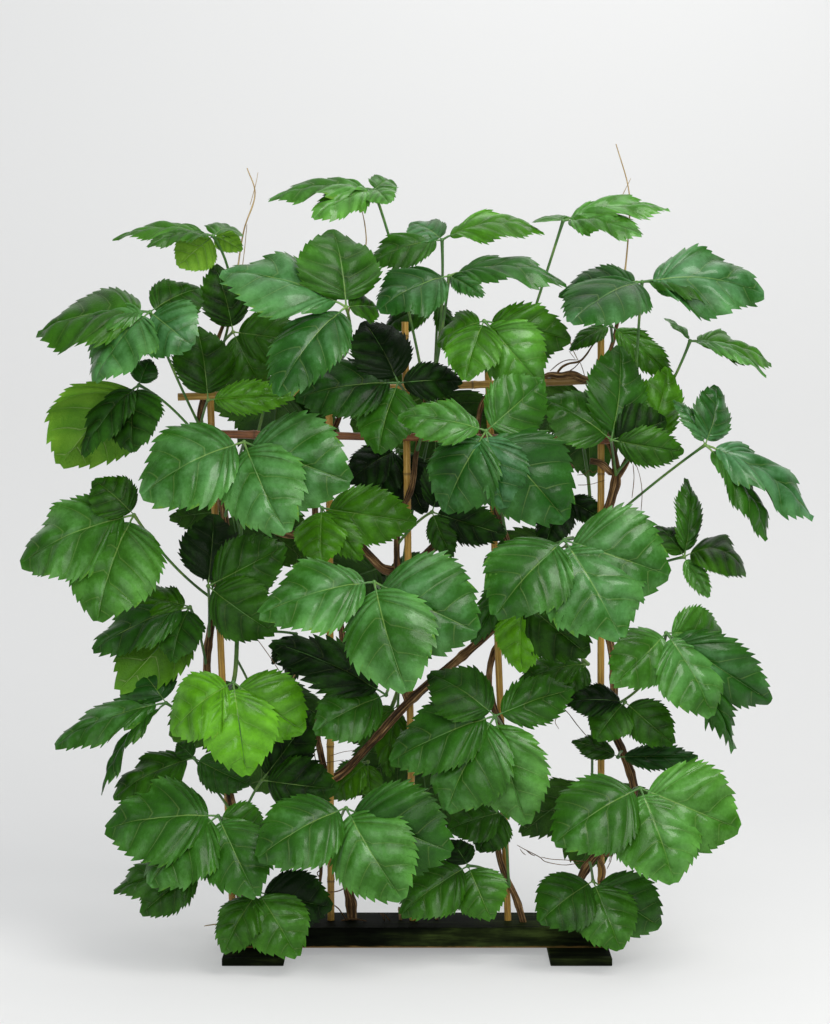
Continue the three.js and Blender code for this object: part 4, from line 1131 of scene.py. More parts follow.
# Leaves: the hub's pixel and its millimetres out, the way the leaf faces, and the root's pixel.
# A petiole may bend through a place of its own. A leaflet's row holds the pixel of its tip, its
# width over its length, the millimetres that its tip is ahead of the hub, its turn and its arch.
# With None or no fourth value the tip lies in the leaf's plane.
leafPlaces = {
    "leaf_01": {"hub": (213, 236), "out": 60, "face": (-8, 70), "root": (206, 388), "via": (252, 292, -46),
                "leaflets": [(113, 239, 0.46, 5, -14), (147, 246, 0.4, 60, -20), (234, 228, 0.8, -70),
                             (178, 266, 0.95, -20, 70), (242, 250, 0.8, -20, -80)]},
    "leaf_02": {"hub": (150, 312), "out": 120, "face": (-15, 38), "root": (202, 428), "via": (172, 372, 95),
                "leaflets": [(38, 331, 0.85, -44), (68, 336, 0.5, 4), (95, 381, 0.98, 45),
                             (192, 346, 1.1, 36), (200, 288, 0.8, -62)]},
    "leaf_03": {"hub": (139, 385), "out": 90, "face": (-20, 25), "root": (206, 450),
                "leaflets": [(60, 464, 0.9, -40, 96), (82, 455, 0.55, 32), (133, 452, 0.95, 44),
                             (150, 359, 1.0, -12)]},
    "leaf_04": {"hub": (346, 307), "out": 190, "face": (0, 32), "root": (340, 361), "via": (358, 345, 90),
                "leaflets": [(222, 270, 0.7), (333, 229, 1.0, -50), (276, 394, 0.66), (378, 308, 0.7, -60)]},
    "leaf_05": {"hub": (374, 190), "out": 40, "face": (6, 66), "root": (426, 396), "via": (404, 275, -30),
                "leaflets": [(270, 199, 0.5, 10, -16), (313, 218, 0.6, 60, -26), (391, 180, 0.7, -60),
                             (389, 203, 0.7, 60)]},
    "leaf_06": {"hub": (449, 276), "out": 110, "face": (5, 34), "root": (416, 452), "via": (437, 385, 48),
                "leaflets": [(378, 309, 0.92), (483, 296, 0.42, 55), (566, 284, 0.5, 0, -44, 0.14)]},
    "leaf_07": {"hub": (442, 240), "out": 50, "face": (0, 55), "root": (422, 424), "via": (446, 345, 0),
                "leaflets": [(411, 222, 1.2, -30, -16), (543, 232, 0.58, -10, -22, 0.15),
                             (368, 263, 0.62, 14, -26)]},
    "leaf_08": {"hub": (484, 321), "out": 150, "face": (0, 24), "root": (510, 368),
                "leaflets": [(465, 380, 0.85), (540, 384, 0.8, 2), (571, 340, 0.6, -30),
                             (437, 343, 0.85, -40)]},
    "leaf_09": {"hub": (642, 282), "out": 170, "face": (8, 46), "root": (634, 441), "via": (636, 350, 70),
                "leaflets": [(570, 322, 0.9), (764, 293, 0.66, -20, -6, 0.13), (731, 308, 0.5, 6, -38),
                             (559, 294, 0.66, -50, -20)]},
    "leaf_10": {"hub": (563, 221), "out": 50, "face": (5, 79), "root": (520, 355), "via": (541, 290, 10),
                "leaflets": [(668, 208, 0.44, -15), (541, 219, 1.1, -50, -20), (641, 233, 0.64, 50)]},
    "leaf_11": {"hub": (690, 341), "out": 60, "face": (15, 72), "root": (627, 462), "via": (672, 390, 20),
                "leaflets": [(665, 318, 0.55, -30), (766, 375, 0.42, 10, -20), (771, 363, 0.55, -60)]},
    "leaf_12": {"hub": (611, 440), "out": 110, "face": (6, 12), "root": (616, 478),
                "leaflets": [(620, 346, 0.68), (666, 420, 0.9), (546, 399, 0.82), (684, 452, 0.55, -15)],
                "twins": [{"hub": (646, 446), "out": 58, "face": (6, 20), "root": (617, 474),
                           "leaflets": [(668, 368, 0.66, 0)]}]},
    "leaf_13": {"hub": (705, 445), "out": 90, "face": (20, 20), "root": (602, 528), "via": (658, 478, 10),
                "leaflets": [(717, 386, 0.74), (674, 400, 0.42), (768, 539, 0.56, 10, -50),
                             (814, 516, 0.52, -20, -46)]},
    "leaf_14": {"hub": (684, 557), "out": 60, "face": (15, 20), "root": (600, 600),
                "leaflets": [(687, 479, 0.4), (746, 573, 1.2, 10, -56, 0.3), (709, 597, 0.46, 25),
                             (657, 525, 0.95, -30)]},
    "leaf_15": {"hub": (564, 540), "out": 210, "face": (4, 22), "root": (586, 553),
                "leaflets": [(669, 575, 0.98), (620, 637, 0.96, None, -16), (495, 615, 0.88)],
                "twins": [{"hub": (524, 566), "out": 60, "face": (0, 16), "root": (560, 548),
                           "leaflets": [(473, 642, 0.38), (484, 560, 0.7)]}]},
    "leaf_16": {"hub": (486, 431), "out": 215, "face": (0, 20), "root": (505, 535),
                "leaflets": [(543, 380, 0.8), (398, 416, 0.56), (444, 512, 0.86, -10),
                             (504, 508, 0.9, 8), (566, 521, 0.76, -12, -10)]},
    "leaf_17": {"hub": (244, 442), "out": 200, "face": (-4, 22), "root": (222, 520),
                "leaflets": [(140, 494, 0.94), (286, 533, 0.84), (350, 482, 0.88)]},
    "leaf_18": {"hub": (134, 515), "out": 140, "face": (-16, 26), "root": (218, 600), "via": (172, 572, 80),
                "leaflets": [(20, 562, 0.76, None, -8), (97, 621, 0.92, None, -12), (94, 480, 0.9, -20)]},
    "leaf_19": {"hub": (208, 586), "out": 110, "face": (-4, 16), "root": (209, 640),
                "leaflets": [(214, 514, 0.9), (285, 546, 0.7), (274, 633, 0.8)]},
    "leaf_20": {"hub": (190, 607), "out": 60, "face": (-10, 26), "root": (207, 670),
                "leaflets": [(93, 650, 0.55), (120, 690, 0.66, 0, 150), (172, 661, 0.9, 35),
                             (126, 598, 0.55, -30)]},
    "leaf_21": {"hub": (233, 682), "out": 190, "face": (0, 26), "root": (215, 740),
                "leaflets": [(171, 732, 0.92, -20), (246, 775, 0.8, 12, -20), (304, 732, 0.86, -20)]},
    "leaf_22": {"hub": (166, 703), "out": 70, "face": (-12, 24), "root": (221, 760),
                "leaflets": [(55, 746, 0.44, None, 10), (101, 795, 0.34, None, 40), (135, 664, 0.95, -45)]},
    "leaf_23": {"hub": (194, 758), "out": 90, "face": (-8, 22), "root": (232, 815), "via": (206, 775, 50),
                "leaflets": [(113, 798, 0.68, None, 14), (177, 743, 0.9), (250, 785, 0.62, -50)]},
    "leaf_24": {"hub": (218, 816), "out": 170, "face": (-6, 26), "root": (238, 868),
                "leaflets": [(106, 828, 0.84), (148, 884, 0.92), (256, 896, 0.8, None, -14),
                             (266, 828, 0.75, -30)],
                "twins": [{"hub": (200, 868), "out": 92, "face": (-10, 24), "root": (226, 862),
                           "leaflets": [(114, 891, 0.46), (141, 914, 0.62, 20, -20)]}]},
    "leaf_25": {"hub": (258, 892), "out": 150, "face": (0, 24), "root": (242, 902),
                "leaflets": [(223, 953, 0.74), (297, 956, 0.86, None, -20), (332, 907, 0.8, -20)]},
    "leaf_26": {"hub": (346, 808), "out": 200, "face": (0, 24), "root": (334, 850),
                "leaflets": [(257, 857, 0.82, 46), (402, 900, 0.84), (451, 852, 0.88)]},
    "leaf_27": {"hub": (468, 866), "out": 120, "face": (0, 22), "root": (510, 885),
                "leaflets": [(401, 914, 0.76), (491, 919, 1.0, None, -10), (450, 840, 0.95, -30)],
                "twins": [{"hub": (504, 812), "out": 70, "face": (0, 18), "root": (506, 884),
                           "leaflets": [(449, 829, 0.86), (478, 851, 1.0)]}]},
    "leaf_28": {"hub": (495, 716), "out": 200, "face": (0, 22), "root": (518, 770),
                "leaflets": [(430, 673, 0.8, -40), (573, 689, 0.6, -40, -20), (390, 762, 0.66, -15),
                             (446, 810, 0.88, 10), (526, 824, 0.7, -5)]},
    "leaf_29": {"hub": (640, 788), "out": 190, "face": (6, 24), "root": (622, 815),
                "leaflets": [(554, 842, 0.84), (674, 883, 0.92, None, -16), (739, 829, 0.9)]},
    "leaf_30": {"hub": (593, 881), "out": 150, "face": (2, 24), "root": (590, 864),
                "leaflets": [(539, 922, 0.95), (620, 950, 0.86, None, -14), (660, 927, 0.85, -5)]},
    "leaf_31": {"hub": (666, 633), "out": 130, "face": (14, 20), "root": (614, 705), "via": (660, 682, 60),
                "leaflets": [(712, 716, 0.8, None, -22), (614, 684, 0.8, None, -20), (771, 702, 0.46, -30, 6),
                             (734, 749, 0.2, -40, -20), (722, 632, 0.75, -60)]},
    "leaf_32": {"hub": (522, 600), "out": 108, "face": (0, 20), "root": (508, 628),
                "leaflets": [(522, 672, 0.72, 5), (588, 655, 0.74)],
                "twins": [{"hub": (588, 664), "out": 40, "face": (0, 26), "root": (520, 606),
                           "leaflets": [(520, 680, 0.6), (552, 700, 0.8)]}]},
    "leaf_33": {"hub": (625, 702), "out": 110, "face": (0, 24), "root": (616, 735),
                "leaflets": [(596, 739, 1.0), (673, 744, 0.7), (564, 702, 0.6, -20)]},
    "leaf_34": {"hub": (374, 582), "out": 230, "face": (0, 22), "root": (398, 640),
                "leaflets": [(260, 613, 0.7), (406, 692, 0.82), (477, 632, 0.94)]},
    "leaf_35": {"hub": (398, 383), "out": 88, "face": (0, 18), "root": (422, 425),
                "leaflets": [(364, 321, 0.9), (296, 398, 0.66), (378, 453, 0.85), (462, 381, 0.6, -20, -16)]},
    "leaf_36": {"hub": (322, 508), "out": 90, "face": (0, 18), "root": (320, 560),
                "leaflets": [(416, 522, 0.64), (322, 563, 1.0), (362, 560, 0.5)]},
    "leaf_37": {"hub": (386, 695), "out": 150, "face": (0, 20), "root": (400, 672),
                "leaflets": [(314, 731, 0.82), (272, 642, 0.46, -30)]},
    "leaf_38": {"hub": (208, 400), "out": 62, "face": (0, 28), "root": (202, 422),
                "leaflets": [(293, 396, 0.42), (197, 327, 0.8, -34)]},
    "leaf_39": {"hub": (233, 332), "out": 24, "face": (0, 20), "root": (212, 358),
                "leaflets": [(215, 265, 0.76, -4), (305, 342, 0.7), (262, 386, 0.8, -16)]},
    "leaf_40": {"hub": (262, 780), "out": 60, "face": (0, 20), "root": (234, 830),
                "leaflets": [(338, 789, 0.74), (312, 712, 0.65)]},
    "leaf_41": {"hub": (618, 757), "out": 50, "face": (0, 30), "root": (622, 750),
                "leaflets": [(572, 741, 0.6), (698, 757, 0.32)]},
    "leaf_42": {"hub": (432, 512), "out": 60, "face": (0, 18), "root": (399, 545),
                "leaflets": [(506, 535, 0.56), (447, 452, 0.6), (452, 557, 0.6, 14)]},
    "leaf_43": {"hub": (611, 326), "out": 26, "face": (6, 40), "root": (613, 342),
                "leaflets": [(673, 379, 0.42, 2), (570, 350, 0.55, 10)]},
}

# How light and how yellow the leaflets look: tone and warmth, in the order of the leaflets.
# The tone is partly the leaflet's own colour, partly painted shade for leaflets deep in the foliage and
# painted light for lit ones.
leafTonesAndShading = {
    "leaf_01": [(0.44, 0.6), (0.4, 0.5), (0.42, 0.5), (0.62, 1), (0.58, 0.95)],
    "leaf_02": [(0.34, 0.6), (0.48, 0.3), (0.6, 0.2), (0.56, 0.12), (0.3, 0.4)],
    "leaf_03": [(0.56, 0.85), (0.26, 0.35), (0.26, 0.4), (0.28, 0.2)],
    "leaf_04": [(0.56, 0.14), (0.36, 0.45), (0.5, 0.12), (0.28, 0.6)],
    "leaf_05": [(0.54, 0.45), (0.56, 0.5), (0.5, 0.45)],
    "leaf_06": [(0.48, 0.08), (0.42, 0.15), (0.42, 0.25)],
    "leaf_07": [(0.48, 0.12), (0.48, 0.75), (0.34, 0.45)],
    "leaf_08": [(0.48, 0.65), (0.54, 0.6), (0.36, 0.65), (0.42, 0.7)],
    "leaf_09": [(0.46, 0.12), (0.54, 0.04), (0.36, 0.4), (0.38, 0.1)],
    "leaf_10": [(0.54, 0.5), (0.48, 0.5), (0.56, 0.45)],
    "leaf_11": [(0.54, 0.4), (0.56, 0.4), (0.46, 0.55)],
    "leaf_12": [(0.46, 0.3), (0.16, 0.5), (0.42, 0.4), (0.32, 0.6)],
    "leaf_13": [(0.52, 0.12), (0.52, 0.1), (0.4, 0.35), (0.6, 0.08)],
    "leaf_14": [(0.42, 0.45), (0.3, 0.75), (0.58, 0.55), (0.22, 0.65)],
    "leaf_15": [(0.48, 0.25), (0.54, 0.25), (0.44, 0.3)],
    "leaf_16": [(0.46, 0.4), (0.48, 0.35), (0.44, 0.15), (0.56, 0), (0.48, 0.08)],
    "leaf_17": [(0.54, 0.2), (0.56, 0.25), (0.54, 0.2)],
    "leaf_18": [(0.5, 0.4), (0.52, 0.45), (0.3, 0.55)],
    "leaf_19": [(0.16, 0.5), (0.34, 0.5), (0.28, 0.5)],
    "leaf_20": [(0.36, 0.3), (0.38, 0.9), (0.28, 0.35), (0.34, 0.85)],
    "leaf_21": [(0.57, 0.95), (0.62, 1), (0.52, 1)],
    "leaf_22": [(0.46, 0.35), (0.4, 0.3), (0.36, 0.12)],
    "leaf_23": [(0.32, 0.6), (0.3, 0.4), (0.38, 0.35)],
    "leaf_24": [(0.5, 0.35), (0.52, 0.4), (0.46, 0.35), (0.38, 0.45)],
    "leaf_25": [(0.38, 0.5), (0.48, 0.55), (0.12, 0.4)],
    "leaf_26": [(0.42, 0.25), (0.54, 0.4), (0.34, 0.2)],
    "leaf_27": [(0.4, 0.45), (0.46, 0.5), (0.14, 0.4)],
    "leaf_28": [(0.3, 0.4), (0.38, 0.45), (0.4, 0.3), (0.48, 0.3), (0.5, 0.45)],
    "leaf_29": [(0.44, 0.35), (0.54, 0.42), (0.56, 0.5)],
    "leaf_30": [(0.36, 0.45), (0.46, 0.5), (0.36, 0.4)],
    "leaf_31": [(0.58, 0.4), (0.52, 0.45), (0.46, 0.12), (0.48, 0.25), (0.52, 0.45)],
    "leaf_32": [(0.68, 1), (0.24, 0.65)],
    "leaf_33": [(0.26, 0.5), (0.26, 0.5), (0.16, 0.4)],
    "leaf_34": [(0.52, 0.25), (0.56, 0.3), (0.5, 0.22)],
    "leaf_35": [(0.12, 0.4), (0.3, 0.25), (0.48, 0.4), (0.14, 0.5)],
    "leaf_36": [(0.4, 0.8), (0.46, 0.85), (0.36, 0.8)],
    "leaf_37": [(0.46, 0.35), (0.2, 0.45)],
    "leaf_38": [(0.6, 0.85), (0.26, 0.6)],
    "leaf_39": [(0.22, 0.6), (0.32, 0.65), (0.4, 0.65)],
    "leaf_40": [(0.24, 0.5), (0.18, 0.5)],
    "leaf_41": [(0.36, 0.6), (0.36, 0.15)],
    "leaf_42": [(0.22, 0.5), (0.18, 0.5), (0.28, 0.6)],
    "leaf_43": [(0.44, 0.7), (0.32, 0.65)],
    "leaf_12twin0": [(0.52, 0.85)], "leaf_15twin0": [(0.4, 0.35), (0.36, 0.35)],
    "leaf_24twin0": [(0.4, 0.45)], "leaf_27twin0": [(0.38, 0.5), (0.3, 0.5)],
    "leaf_32twin0": [(0.34, 0.6)], "shoot_left3": [(0.2, 0.5)], "shoot_middle0": [(0.46, 0.9)],
    "shoot_middle4": [(0.12, 0.4)], "shoot_middle5": [(0.24, 0.6)], "shoot_middle6": [(0.4, 0.85)],
    "shoot_right3": [(0.16, 0.4)],
}
# Leaflets not listed sit deep at the back and are painted dark, as shade.
hiddenLeafShadeTones = [(0.26, 0.5)]

# Green shoots at the back, with the same kind of leaf rows.
shootPlaces = {
    "shoot_left": {
        "root": (210, 696), "path": [(230, 690, -46), (238, 620, -64), (244, 500, -66), (268, 392, -62)],
        "leaves": [
            {"hub": (276, 376), "out": -118, "face": (158, 34), "root": (266, 400),
             "leaflets": [(200, 398, 0.78), (262, 470, 0.8), (340, 432, 0.7)]},
            {"hub": (232, 510), "out": -140, "face": (204, 16), "root": (242, 540),
             "leaflets": [(170, 518, 0.52), (248, 606, 0.76), (306, 560, 0.74)]},
            {"hub": (252, 690), "out": -125, "face": (176, 26), "root": (233, 664),
             "leaflets": [(172, 738, 0.74), (262, 792, 0.8), (330, 722, 0.78)]},
            {"hub": (296, 634), "out": -24, "face": (0, 24), "root": (238, 640),
             "leaflets": [(272, 664, 0.5), (292, 682, 0.5, -10)]},
        ]},
    "shoot_middle": {
        "root": (325, 780), "path": [(350, 772, -50), (398, 690, -66), (404, 560, -70), (432, 420, -64)],
        "leaves": [
            {"hub": (368, 762), "out": -26, "face": (0, 24), "root": (352, 772),
             "leaflets": [(332, 798, 0.7, -12), (372, 800, 0.7, -6)]},
            {"hub": (436, 392), "out": -130, "face": (184, 20), "root": (432, 420),
             "leaflets": [(352, 428, 0.8), (432, 494, 0.78), (496, 446, 0.76)]},
            {"hub": (384, 566), "out": -150, "face": (164, 34), "root": (403, 600),
             "leaflets": [(304, 600, 0.76), (390, 660, 0.84), (468, 592, 0.78)]},
            {"hub": (418, 738), "out": -116, "face": (200, 20), "root": (378, 730),
             "leaflets": [(350, 792, 0.74), (432, 836, 0.8), (500, 770, 0.76)]},
            {"hub": (398, 450), "out": -42, "face": (0, 20), "root": (424, 462),
             "leaflets": [(347, 482, 0.78), (374, 508, 0.6), (424, 513, 0.7, -16)]},
            {"hub": (438, 302), "out": -46, "face": (0, 30), "root": (432, 420), "via": (436, 350, -56),
             "leaflets": [(384, 330, 0.7, -4), (452, 342, 0.4)]},
            {"hub": (398, 706), "out": -40, "face": (0, 22), "root": (396, 694),
             "leaflets": [(388, 776, 0.46), (352, 742, 0.5, -10)]},
        ]},
    "shoot_right": {
        "root": (616, 736), "path": [(594, 716, -40), (582, 640, -62), (590, 500, -66), (574, 396, -62)],
        "leaves": [
            {"hub": (586, 392), "out": -125, "face": (186, 22), "root": (575, 410),
             "leaflets": [(516, 420, 0.7), (590, 476, 0.76), (654, 414, 0.7)]},
            {"hub": (566, 546), "out": -136, "face": (158, 28), "root": (588, 566),
             "leaflets": [(488, 586, 0.76), (570, 640, 0.84), (648, 572, 0.78)]},
            {"hub": (592, 784), "out": -90, "face": (182, 26), "root": (592, 714),
             "leaflets": [(521, 833, 0.6), (584, 868, 0.74), (664, 840, 0.72)]},
            {"hub": (566, 498), "out": -30, "face": (0, 22), "root": (587, 530),
             "leaflets": [(544, 548, 0.7), (604, 520, 0.6)]},
        ]},
}

# One leaflet, as shares of its length or half width.
leafletShape = {
    # Each leaflet is turned by these degrees, and is this many metres thick but for its rim.
    "shingle": 16, "thickness": 0.0009, "rimThin": 6,
    "arch": 0.09, "cup": 0.14, "stalk": 0.08, "baseFullness": 0.85, "roundness": (0.6, 0.73),
    "handWidths": (0.96, 1.05),
    "teeth": (10, 14), "toothFrom": 0.12, "toothTo": 0.985, "toothDepth": 0.038, "toothPush": 0.027,
    "toothStations": [(0.0, 0.0), (0.35, 0.42), (0.7, 0.8), (0.9, 1.0)],
    "toothShift": 0.24, "toothSizes": (0.6, 1.35), "firstTooth": (0.45, 0.3),
    # What a tooth stands out from, and how fast it fades towards the midrib.
    "toothLevel": 0.35, "toothFade": 8,
    "plainRows": [0.004, 0.014, 0.035, 0.065, 0.1],
    "columns": [0, 0.05, 0.15, 0.3, 0.47, 0.64, 0.8, 0.92, 1],
    # Veins on the two hands leave the midrib by turns.
    "veins": 6.4, "veinLead": 0.42, "veinRoot": 0.1, "veinArch": 0.35,
    "veinShift": 0.2, "handShift": 0.22, "handShiftOver": 0.15,
    # Relief fades out over the first and last parts of the blade, by these slopes.
    "fadeSlopes": (8, 6), "phases": (0, 6.3), "droop": (0.0, 0.03),
    "quilt": 0.026, "quiltPower": 0.85, "ridgePower": 0.8, "swells": (0.5, 1.5), "fields": 12,
    "belly": 0.022, "bellyPower": 0.8, "crease": 0.008, "creaseWidth": 0.06,
    "buckles": 3, "buckle": 0.012, "buckleTurns": (1.2, 3.2), "buckleSlant": (-2.2, 2.2), "buckleMiddle": 0.3,
    "wave": 0.022, "waveTurns": (1.2, 2.4), "waveSizes": (0.4, 1.3), "handPhase": 1.3,
}

# Stalks and ribs, in millimetres. The bend is a share of the way, and shares of it up and back.
stalkSettings = {
    "rootRadius": 3.2, "radius": 2.1, "hubRadius": 2.9, "rootFade": 0.9, "hubFade": 1.2, "knobRadius": 3.4,
    "sides": 8, "steps": 16, "bend": (0.55, 0.14, 0.1), "twinSteps": 40,
    "ribRadii": [1.8, 1.5, 1.3, 1.0, 0.75, 0.5, 0.3], "ribStations": [0, 0.06, 0.12, 0.3, 0.5, 0.7, 0.88],
    # A rib is as thick as listed on a blade of this many metres, within two limits.
    "ribSides": 6, "ribBlade": 0.14, "ribScales": (0.6, 1.1), "ribUnder": 0.75,
}


def fullness(share):
    atBase, atTip = leafletShape["roundness"]
    bow = np.sin(np.pi * np.clip(share, 0, 1) ** leafletShape["baseFullness"])
    return np.clip(bow, 0, 1) ** (atBase + (atTip - atBase) * share)


# Where on the midrib the vein leaves that reaches the margin at a share of the blade.
def veinStart(share):
    lead, root = leafletShape["veinLead"], leafletShape["veinRoot"]
    turn = root + lead * (1 - root)
    return np.where(share < turn, root * share / turn, (share - lead) / (1 - lead))


# The midrib's height over the straight line from the hub to the tip.
def archHeight(arch, length, share):
    return arch * length * 4 * share * (1 - share)


# Rows of the blade: share of the margin, how far out on a tooth, and the tooth's size.
def marginRows(draw):
    shape = leafletShape
    count = draw.randint(*shape["teeth"])
    width = (shape["toothTo"] - shape["toothFrom"]) / count
    ends = [shape["toothFrom"]]
    for tooth in range(1, count):
        shift = draw.uniform(-shape["toothShift"], shape["toothShift"])
        ends.append(shape["toothFrom"] + width * (tooth + shift))
    ends.append(shape["toothTo"])
    smallest, growth = shape["firstTooth"]
    rows = [(0.0, 0.0, 0.0)] + [(share, 0.0, 0.0) for share in shape["plainRows"]]
    for tooth, (start, end) in enumerate(zip(ends, ends[1:])):
        size = draw.uniform(*shape["toothSizes"]) * (end - start) / width
        size *= min(1, smallest + tooth * growth)
        for phase, saw in shape["toothStations"]:
            rows.append((start + phase * (end - start), saw, size))
    return np.array(rows + [(1.0, 0.0, 0.0)])


# The flat blade, rows by columns: share of the margin, share across, vein number, place along,
# distance out, and the room that the veins leave between them.
def flatBlade(length, ratio, draw):
    shape = leafletShape
    rows = marginRows(draw)
    share, saw, size = (rows[1:-1, i:i + 1] for i in range(3))
    columns = np.array(shape["columns"])
    across = np.concatenate([-columns[::-1], columns[1:]])[None, :]
    away, hand = np.abs(across), np.sign(across)
    left, right = draw.uniform(*shape["handWidths"]), draw.uniform(*shape["handWidths"])
    halfWidth = ratio * length / 2 * fullness(share) * np.where(hand < 0, left, right)
    start = veinStart(share)
    bent = away * (1 - shape["veinArch"]) + away ** 2 * shape["veinArch"]
    axial = start + (share - start) * bent
    # Where veins crowd together at the base, the blade swells less between them.
    pitch = np.hypot(np.gradient(axial, axis=0), np.gradient(away * halfWidth, axis=0) / length)
    room = np.clip(pitch / np.gradient(share, axis=0), 0, 1)
    # Teeth stand square to the margin and lean towards the tip.
    slope = np.gradient(halfWidth / length, axis=0) / np.gradient(share, axis=0)
    steep = np.hypot(1, slope)
    fade = away ** shape["toothFade"]
    tooth = (saw - shape["toothLevel"]) * size * shape["toothDepth"] * fade
    lean = saw * size * shape["toothPush"] * fade
    axial = axial + (-slope * tooth + lean) / steep
    out = away * halfWidth + (tooth + slope * lean) / steep * length
    shift = hand * shape["handShift"] * np.minimum(1, away / shape["handShiftOver"])
    veinNumber = share * shape["veins"] + shape["veinShift"] + shift
    return share, across, veinNumber, axial, out, room


# How much the blade stands over its own plane for quilting, belly, buckles, wave and droop.
def bladeRelief(share, across, veinNumber, axial, room, length, draw):
    shape = leafletShape
    away, hand = np.abs(across), np.sign(across)
    rise, fall = shape["fadeSlopes"]
    taper = length * np.minimum(1, share * rise) * np.minimum(1, (1 - share) * fall)
    # Each field between two laterals swells by its own amount.
    swells = [[draw.uniform(*shape["swells"]) for _ in range(shape["fields"])] for _ in range(2)]
    left, right = np.array(swells)
    field = np.clip(np.floor(veinNumber), 0, shape["fields"] - 1).astype(int)
    ridges = np.abs(np.sin(np.pi * veinNumber)) ** shape["ridgePower"]
    quilt = shape["quilt"] * np.where(hand < 0, left[field], right[field]) * room * ridges
    quilt = quilt * np.sin(np.pi * away ** shape["quiltPower"])
    belly = shape["belly"] * np.sin(np.pi * away ** shape["bellyPower"])
    crease = shape["crease"] * np.exp(-(away / shape["creaseWidth"]) ** 2)
    high = taper * (quilt + belly - crease)
    # Broad buckles run aslant over the blade.
    for _ in range(shape["buckles"]):
        turns, slant, shift = (draw.uniform(*shape[key]) for key in ("buckleTurns", "buckleSlant", "phases"))
        aslant = np.sin(fullTurn * turns * share + slant * across + shift)
        high = high + taper * room * shape["buckle"] * aslant * (shape["buckleMiddle"] + away)
    shift, turns, size = (draw.uniform(*shape[key]) for key in ("phases", "waveTurns", "waveSizes"))
    waving = np.sin(fullTurn * turns * share + shift + hand * shape["handPhase"])
    high = high + taper * shape["wave"] * size * away ** 2 * waving
    return high - length * draw.uniform(*shape["droop"]) * axial ** 3


# Quads of a grid of points, and fans from its end rows to the blade's base and tip, points 0 and 1.
def skinFaces(index, flip):
    count = index.shape[1] - 1
    quads = np.stack([index[:-1, :-1], index[1:, :-1], index[1:, 1:], index[:-1, 1:]], axis=-1)
    first = np.stack([np.zeros(count, int), index[0, :-1], index[0, 1:]], axis=-1)
    last = np.stack([np.ones(count, int), index[-1, 1:], index[-1, :-1]], axis=-1)
    blocks = [quads.reshape(-1, 4), first, last]
    return [block[:, ::-1] for block in blocks] if flip else blocks


# The rib and the leaflet's own short stalk run along the underside.
def ribLine(hub, along, face, length, arch):
    path, radii = [], []
    smallest, largest = stalkSettings["ribScales"]
    scale = min(largest, max(smallest, length / stalkSettings["ribBlade"]))
    for station, radius in zip(stalkSettings["ribStations"], stalkSettings["ribRadii"]):
        radius = radius * mm * scale
        under = 0
        if station >= leafletShape["stalk"]:
            under = radius * stalkSettings["ribUnder"] + leafletShape["crease"] * length
        lift = archHeight(arch, length, station) - under
        path.append(Vector(hub + along * length * station + face * lift))
        radii.append(radius)
    return path, radii


def addLeaflet(gathered, hub, tip, normal, ratio, turn, arch, tone, draw):
    shape, stalk = leafletShape, leafletShape["stalk"]
    light, warmth = tone
    length = (tip - hub).length
    along = (tip - hub).normalized()
    face = (normal - along * normal.dot(along)).normalized()
    face.rotate(Quaternion(along, math.radians(turn + shape["shingle"])))
    side = along.cross(face)
    share, across, veinNumber, axial, out, room = flatBlade(length, ratio, draw)
    reach = stalk + (1 - stalk) * axial
    high = archHeight(arch, length, reach) - shape["cup"] * out
    high = high + bladeRelief(share, across, veinNumber, axial, room, length, draw)

    def place(reach, out, high):
        return (np.array(hub) + np.array(along) * (reach * length)[..., None]
                + np.array(side) * out[..., None] + np.array(face) * high[..., None])

    ends = place(np.array([stalk, 1.0]), np.zeros(2), np.array([archHeight(arch, length, stalk), 0.0]))
    upper = place(reach, np.sign(across) * out, high)
    thick = shape["thickness"] * (1 - np.abs(across) ** shape["rimThin"]) * np.ones_like(share)
    lower = upper - np.array(face) * thick[..., None]
    # The two skins share the margin's points.
    rows, columns = out.shape
    inner = columns - 2
    upperIndex = 2 + np.arange(rows * columns).reshape(rows, columns)
    lowerIndex = upperIndex.copy()
    lowerIndex[:, 1:-1] = 2 + rows * columns + np.arange(rows * inner).reshape(rows, inner)
    points = np.concatenate([ends, upper.reshape(-1, 3), lower[:, 1:-1].reshape(-1, 3)])
    # What the leaf's material reads: vein number, share across, and how light the leaflet is, its own tone
    # with painted shade and painted light in it.
    upperPlace = np.stack(np.broadcast_arrays(veinNumber, across, light), axis=-1)
    shift = shape["veinShift"]
    endPlace = np.array([[shift, 0, light], [shape["veins"] + shift, 0, light]])
    places = np.concatenate([endPlace, upperPlace.reshape(-1, 3), upperPlace[:, 1:-1].reshape(-1, 3)])
    start = gathered.add(points, skinFaces(upperIndex, False), "leafUpper", place=places, warmth=warmth)
    gathered.addFaces(skinFaces(lowerIndex, True), "leafUnder", start)
    ribPoints, ribFaces, _ = tubeMesh(*ribLine(hub, along, face, length, arch), stalkSettings["ribSides"])
    gathered.add(ribPoints, ribFaces, "greenStalk")


def knobMesh(centre, radius, sides=8, rings=5):
    points = [centre + up * radius, centre - up * radius]
    for ring in range(1, rings):
        slope = math.pi * ring / rings
        for k in range(sides):
            turn = fullTurn * k / sides
            outward = Vector((math.sin(slope) * math.cos(turn), math.sin(slope) * math.sin(turn),
                              math.cos(slope)))
            points.append(centre + outward * radius)
    k = np.arange(sides)
    nextK = (k + 1) % sides
    faces = [np.stack([np.zeros(sides, int), 2 + k, 2 + nextK], axis=1)]
    for ring in range(rings - 2):
        a, b = 2 + ring * sides, 2 + (ring + 1) * sides
        faces.append(np.stack([a + k, b + k, b + nextK, a + nextK], axis=1))
    last = 2 + (rings - 2) * sides
    faces.append(np.stack([np.ones(sides, int), last + nextK, last + k], axis=1))
    return np.array([tuple(p) for p in points]), faces


